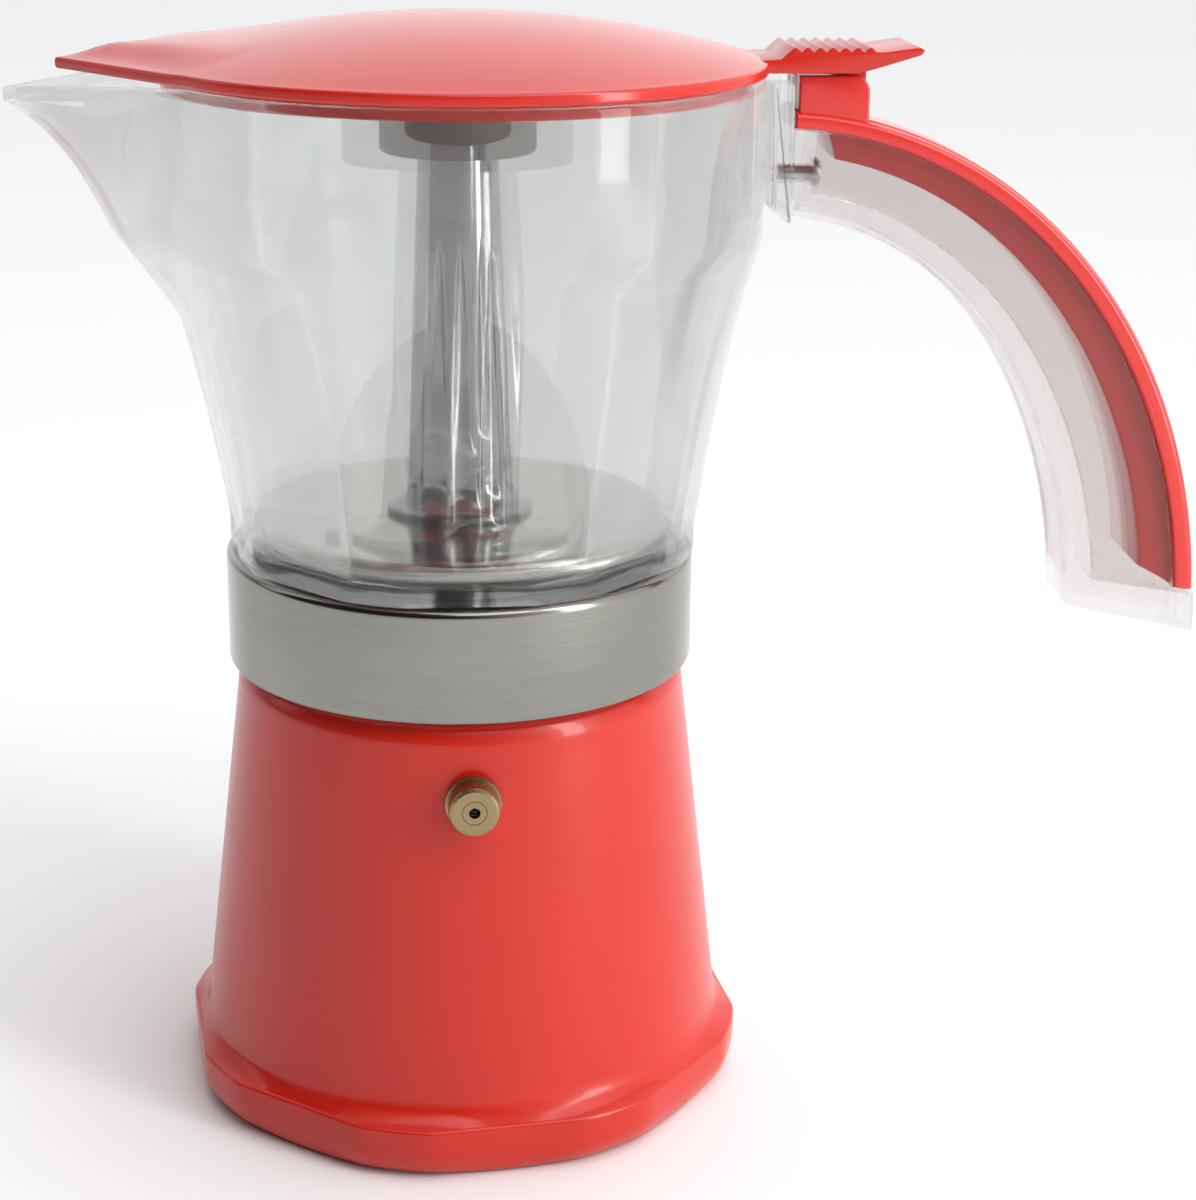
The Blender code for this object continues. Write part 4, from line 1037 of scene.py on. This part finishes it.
@dataclass
class Lid:
    """The red lid: a shallow dome that reaches over the spout, with lip, boss, tab and lug."""

    radius: float = 54.9 * MM
    low_z: float = 191.3 * MM
    edge: float = 2.0 * MM
    rise: float = 7.6 * MM
    wall: float = 1.8 * MM
    reach: float = 14.9 * MM
    half_angle: float = 32.0
    pin: tuple[float, float] = (69.9, 188.0)
    knuckle: float = 2.8
    swell: float = 2.6 * MM
    swell_in: float = 12 * MM
    swell_start: float = 36 * MM
    swell_out: float = 20 * MM

    def outline(self, angle: Grid) -> Grid:
        """Radius of the lid's edge: a circle, and a straight-sided beak that covers the spout.

        Args:
            angle: Azimuths in radians.

        Returns:
            The radii.
        """
        half = math.radians(self.half_angle)
        aside = from_spout(angle)
        tip, side = self.radius + self.reach, self.radius * math.sin(half)
        flank = tip * side / (side * np.cos(aside) + (tip - self.radius * math.cos(half)) * np.sin(aside))
        return np.where(aside < half, flank, self.radius)

    def height(self, radius: Grid) -> Grid:
        """Height of the dome: its rise falls with the square of the radius."""
        return self.low_z + self.edge + self.rise * (1 - np.minimum(radius / self.radius, 1) ** 2)

    def crown(self, angle: Grid, radius: Grid, out: Grid) -> Grid:
        """Swell of the spout cover: the swell's height times (1 - s^2), s the share of the half
        angle, times the smooth steps of the way in from the edge and out from the dome.

        Args:
            angle: Azimuths in radians.
            radius: Radii by row and angle.
            out: Radius of the lid's edge at each angle.

        Returns:
            The heights to add.
        """
        aside = from_spout(angle) / math.radians(self.half_angle)
        inward = smooth(np.clip((out - radius) / self.swell_in, 0, 1))
        outward = smooth(np.clip((radius - self.swell_start) / self.swell_out, 0, 1))
        return self.swell * np.clip(1 - aside**2, 0, 1) * inward * outward

    def rows(self) -> Grid:
        """Rows over the dome from the middle out, round the rim, and back under it.

        Returns:
            The rows.
        """
        angle = azimuths(256)
        out = self.outline(angle)
        share = np.linspace(0.004, 1, 40)[:, None]
        rim = 0.7 * MM
        over = (out - rim) * share
        over_z = self.height(over) + self.crown(angle, over, out)
        turn = np.linspace(0, math.pi / 2, 7)[1:, None]
        edge_r = out - rim + rim * np.sin(turn)
        edge_z = over_z[-1] - rim * (1 - np.cos(turn))
        low_r = np.stack([out, out - 0.25 * MM, out - 0.8 * MM, out - 1.2 * MM, out - 5 * MM])
        low_z = np.stack([np.full_like(out, self.low_z + h * MM) for h in (0.5, 0.12, 0.0, 0.0, 0.0)])
        back = np.linspace(0.86, 0.004, 24)[:, None]
        under = out * back
        under_z = self.height(under) - self.wall
        radius = np.concatenate([over, edge_r, low_r, under])
        return ring_rows(radius, np.concatenate([over_z, edge_z, low_z, under_z]), angle)

    def tab_outline(self) -> Grid:
        """The thumb tab's side view: flat below, ribbed above, with a wedge-shaped tip.

        Returns:
            X and Z of the outline, in metres.
        """
        start, end = 57.6, 73.2
        ribs = np.linspace(0, 1, 97)
        top_x = start + (end - start) * ribs
        wave = 0.5 - 0.5 * np.cos(ribs * 2 * math.pi * 7)
        top = np.stack([top_x, 195.2 + 0.75 * wave**0.7], 1)
        wedge = [
            (74.4, 195.15, 0.6),
            (80.9, 196.0, 0.3),
            (81.8, 195.4, 0.4),
            (81.0, 194.6, 0.3),
            (72.9, 192.2, 1.0),
            (70.0, 191.45, 0.4),
        ]
        tip = filleted(wedge, looped=False) / MM
        return np.concatenate([[[50.0, 191.45], [50.0, 193.6], [56.2, 193.9]], top, tip]) * MM

    def lug_outline(self) -> Grid:
        """The lug that hangs from the tab into the hinge block, round under the pin.

        Returns:
            X and Z of the outline, in metres.
        """
        turn = np.radians(np.linspace(180, 360, 19))
        r = self.knuckle - 0.1
        bow = np.stack([self.pin[0] + r * np.cos(turn), self.pin[1] + r * np.sin(turn)], 1)
        return np.concatenate([[[self.pin[0] - r, 192.2]], bow, [[self.pin[0] + r, 192.2]]]) * MM

    def build(self) -> None:
        """Builds the lid's pieces, and dresses the splash cap and its screw."""
        dressed(skin("lid_dome", self.rows(), crease=30), LID_RED, Body.LID, "lid")
        lip = [(50.3, 192.2, 0), (51.9, 192.2, 0), (51.9, 188.7, 0.4), (50.3, 188.7, 0.4)]
        dressed(turned("lid_lip", lip), LID_RED, Body.LID)
        boss = [(1.8, 194.9, 0.1), (5.0, 194.9, 0.2), (5.0, 199.6, 0), (1.8, 199.6, 0)]
        dressed(turned("lid_boss", boss), LID_RED, Body.LID)
        tab = slab("thumb_tab", self.tab_outline(), -9 * MM, 9 * MM, 0.22 * MM)
        dressed(tab, LID_RED, Body.LID)
        lug = refined(self.lug_outline(), 2 * MM)
        dressed(slab("hinge_lug", lug, -3.2 * MM, 3.2 * MM, 0.3 * MM), LID_RED, Body.LID)
        cup = turned(
            "splash_cup",
            [
                (1.8, 194.6, 0.1),
                (14.0, 194.6, 3.2),
                (14.0, 177.0, 0.9),
                (12.2, 177.0, 0.5),
                (12.2, 192.8, 1.4),
                (1.8, 192.8, 0.1),
            ],
        )
        dressed(cup, CAP_GREY, Body.LID, "splash_cap")
        carried(STEEL, "cap_screw")


# ------------------------------------------------------------------ studio


@dataclass
class Studio:
    """A plain pale floor, soft lights and the camera."""

    eye: tuple[float, float, float] = (-20.4 * MM, -449.3 * MM, 241.0 * MM)
    heading: tuple[float, float] = (0.1028, 0.9947)
    pitch: float = -18.24
    roll: float = 0.70
    lens: float = 75.24
    overhead: float = 0.8
    air: tuple[float, float] = (0.03, 1.15)  # the room's light on its dark side and on its bright side
    lamps: list[tuple[str, float, float, float, float, float, float]] = field(
        default_factory=lambda: [
            # name, azimuth right of the view, elevation, distance, width, height, power
            ("key_softbox", 60.0, 12.0, 1.15, 0.24, 1.6, 11.0),
            ("front_fill", 30.0, 50.0, 1.6, 1.2, 0.5, 4.0),
            ("left_fill", -100.0, 30.0, 1.5, 0.4, 1.2, 1.2),
        ]
    )

    def camera(self) -> None:
        """Aims the camera along its heading and pitch, then rolls it about the view line."""
        pitch = math.radians(self.pitch)
        look = Vector((self.heading[0] * math.cos(pitch), self.heading[1] * math.cos(pitch), math.sin(pitch)))
        data = bpy.data.cameras.new("camera")
        data.sensor_width, data.lens = 36.0, self.lens
        data.clip_start, data.clip_end = 0.01, 100.0
        view = bpy.data.objects.new("camera", data)
        turn = look.to_track_quat("-Z", "Y").to_matrix() @ Matrix.Rotation(math.radians(self.roll), 3, "Z")
        view.matrix_world = Matrix.Translation(self.eye) @ turn.to_4x4()
        bpy.context.scene.collection.objects.link(view)
        bpy.context.scene.camera = view

    def lights(self) -> None:
        """Stands the lamps round the pot, hangs the overhead light, and shades the room's air."""
        ahead = math.atan2(self.heading[0], self.heading[1])
        for name, azimuth, elevation, distance, width, height, power in self.lamps:
            data = bpy.data.lights.new(name, "AREA")
            data.shape, data.size, data.size_y, data.energy = "RECTANGLE", width, height, power
            bearing, rise = ahead + math.pi - math.radians(azimuth), math.radians(elevation)
            flat = math.cos(rise)
            away = Vector((math.sin(bearing) * flat, math.cos(bearing) * flat, math.sin(rise)))
            lamp = bpy.data.objects.new(name, data)
            turn = (-away).to_track_quat("-Z", "Y").to_matrix().to_4x4()
            lamp.matrix_world = Matrix.Translation(Vector((0, 0, 0.1)) + away * distance) @ turn
            bpy.context.scene.collection.objects.link(lamp)
        sun = bpy.data.lights.new("overhead_diffuser", "SUN")
        sun.energy, sun.angle = self.overhead, math.radians(50)
        sun.specular_factor = 0.0
        above = bpy.data.objects.new("overhead_diffuser", sun)
        above.matrix_world = Vector((-0.15, 0.1, -1.0)).to_track_quat("-Z", "Y").to_matrix().to_4x4()
        bpy.context.scene.collection.objects.link(above)
        world = bpy.data.worlds.new("studio_air")
        world.use_nodes = True
        tree = world.node_tree
        air = tree.nodes["Background"]
        air.inputs["Color"].default_value = (0.98, 0.99, 1.0, 1.0)
        side = tree.nodes.new("ShaderNodeTexCoord")
        facing = tree.nodes.new("ShaderNodeVectorMath")
        facing.operation = "DOT_PRODUCT"
        facing.inputs[1].default_value = (0.8, 0.6, 0.0)
        fade = tree.nodes.new("ShaderNodeMapRange")
        fade.interpolation_type = "SMOOTHSTEP"
        for socket, setting in zip(("From Min", "From Max", "To Min", "To Max"), (-0.7, 0.4, *self.air)):
            fade.inputs[socket].default_value = setting
        tree.links.new(side.outputs["Generated"], facing.inputs[0])
        tree.links.new(facing.outputs["Value"], fade.inputs["Value"])
        tree.links.new(fade.outputs["Result"], air.inputs["Strength"])
        bpy.context.scene.world = world

    def floor(self) -> None:
        """A round floor, far wider than the view."""
        radius = 6.0
        mesh = bpy.data.meshes.new("studio_floor")
        angle = azimuths(96)
        rim = np.stack([radius * np.sin(angle), radius * np.cos(angle), np.full(96, -0.0002)], 1)
        mesh.from_pydata(rim.tolist(), [], [list(range(96))[::-1]])
        thing = bpy.data.objects.new("studio_floor", mesh)
        thing.data.materials.append(FLOOR.material())
        bpy.context.scene.collection.objects.link(thing)

    def build(self) -> None:
        """Sets up camera, lights and floor, and keeps plain colours in the view."""
        self.camera()
        self.lights()
        self.floor()
        bpy.context.scene.view_settings.view_transform = "Standard"


def main() -> None:
    """Builds the pot's sub-assemblies in order, then the studio."""
    logging.basicConfig(level=logging.INFO, format="%(message)s")
    for part in (Studio(), Boiler(), Inside(), Band(), Jug(), Column(), Handle(), Lid()):
        LOG.info("building %s", type(part).__name__)
        part.build()


if __name__ == "__main__":
    main()
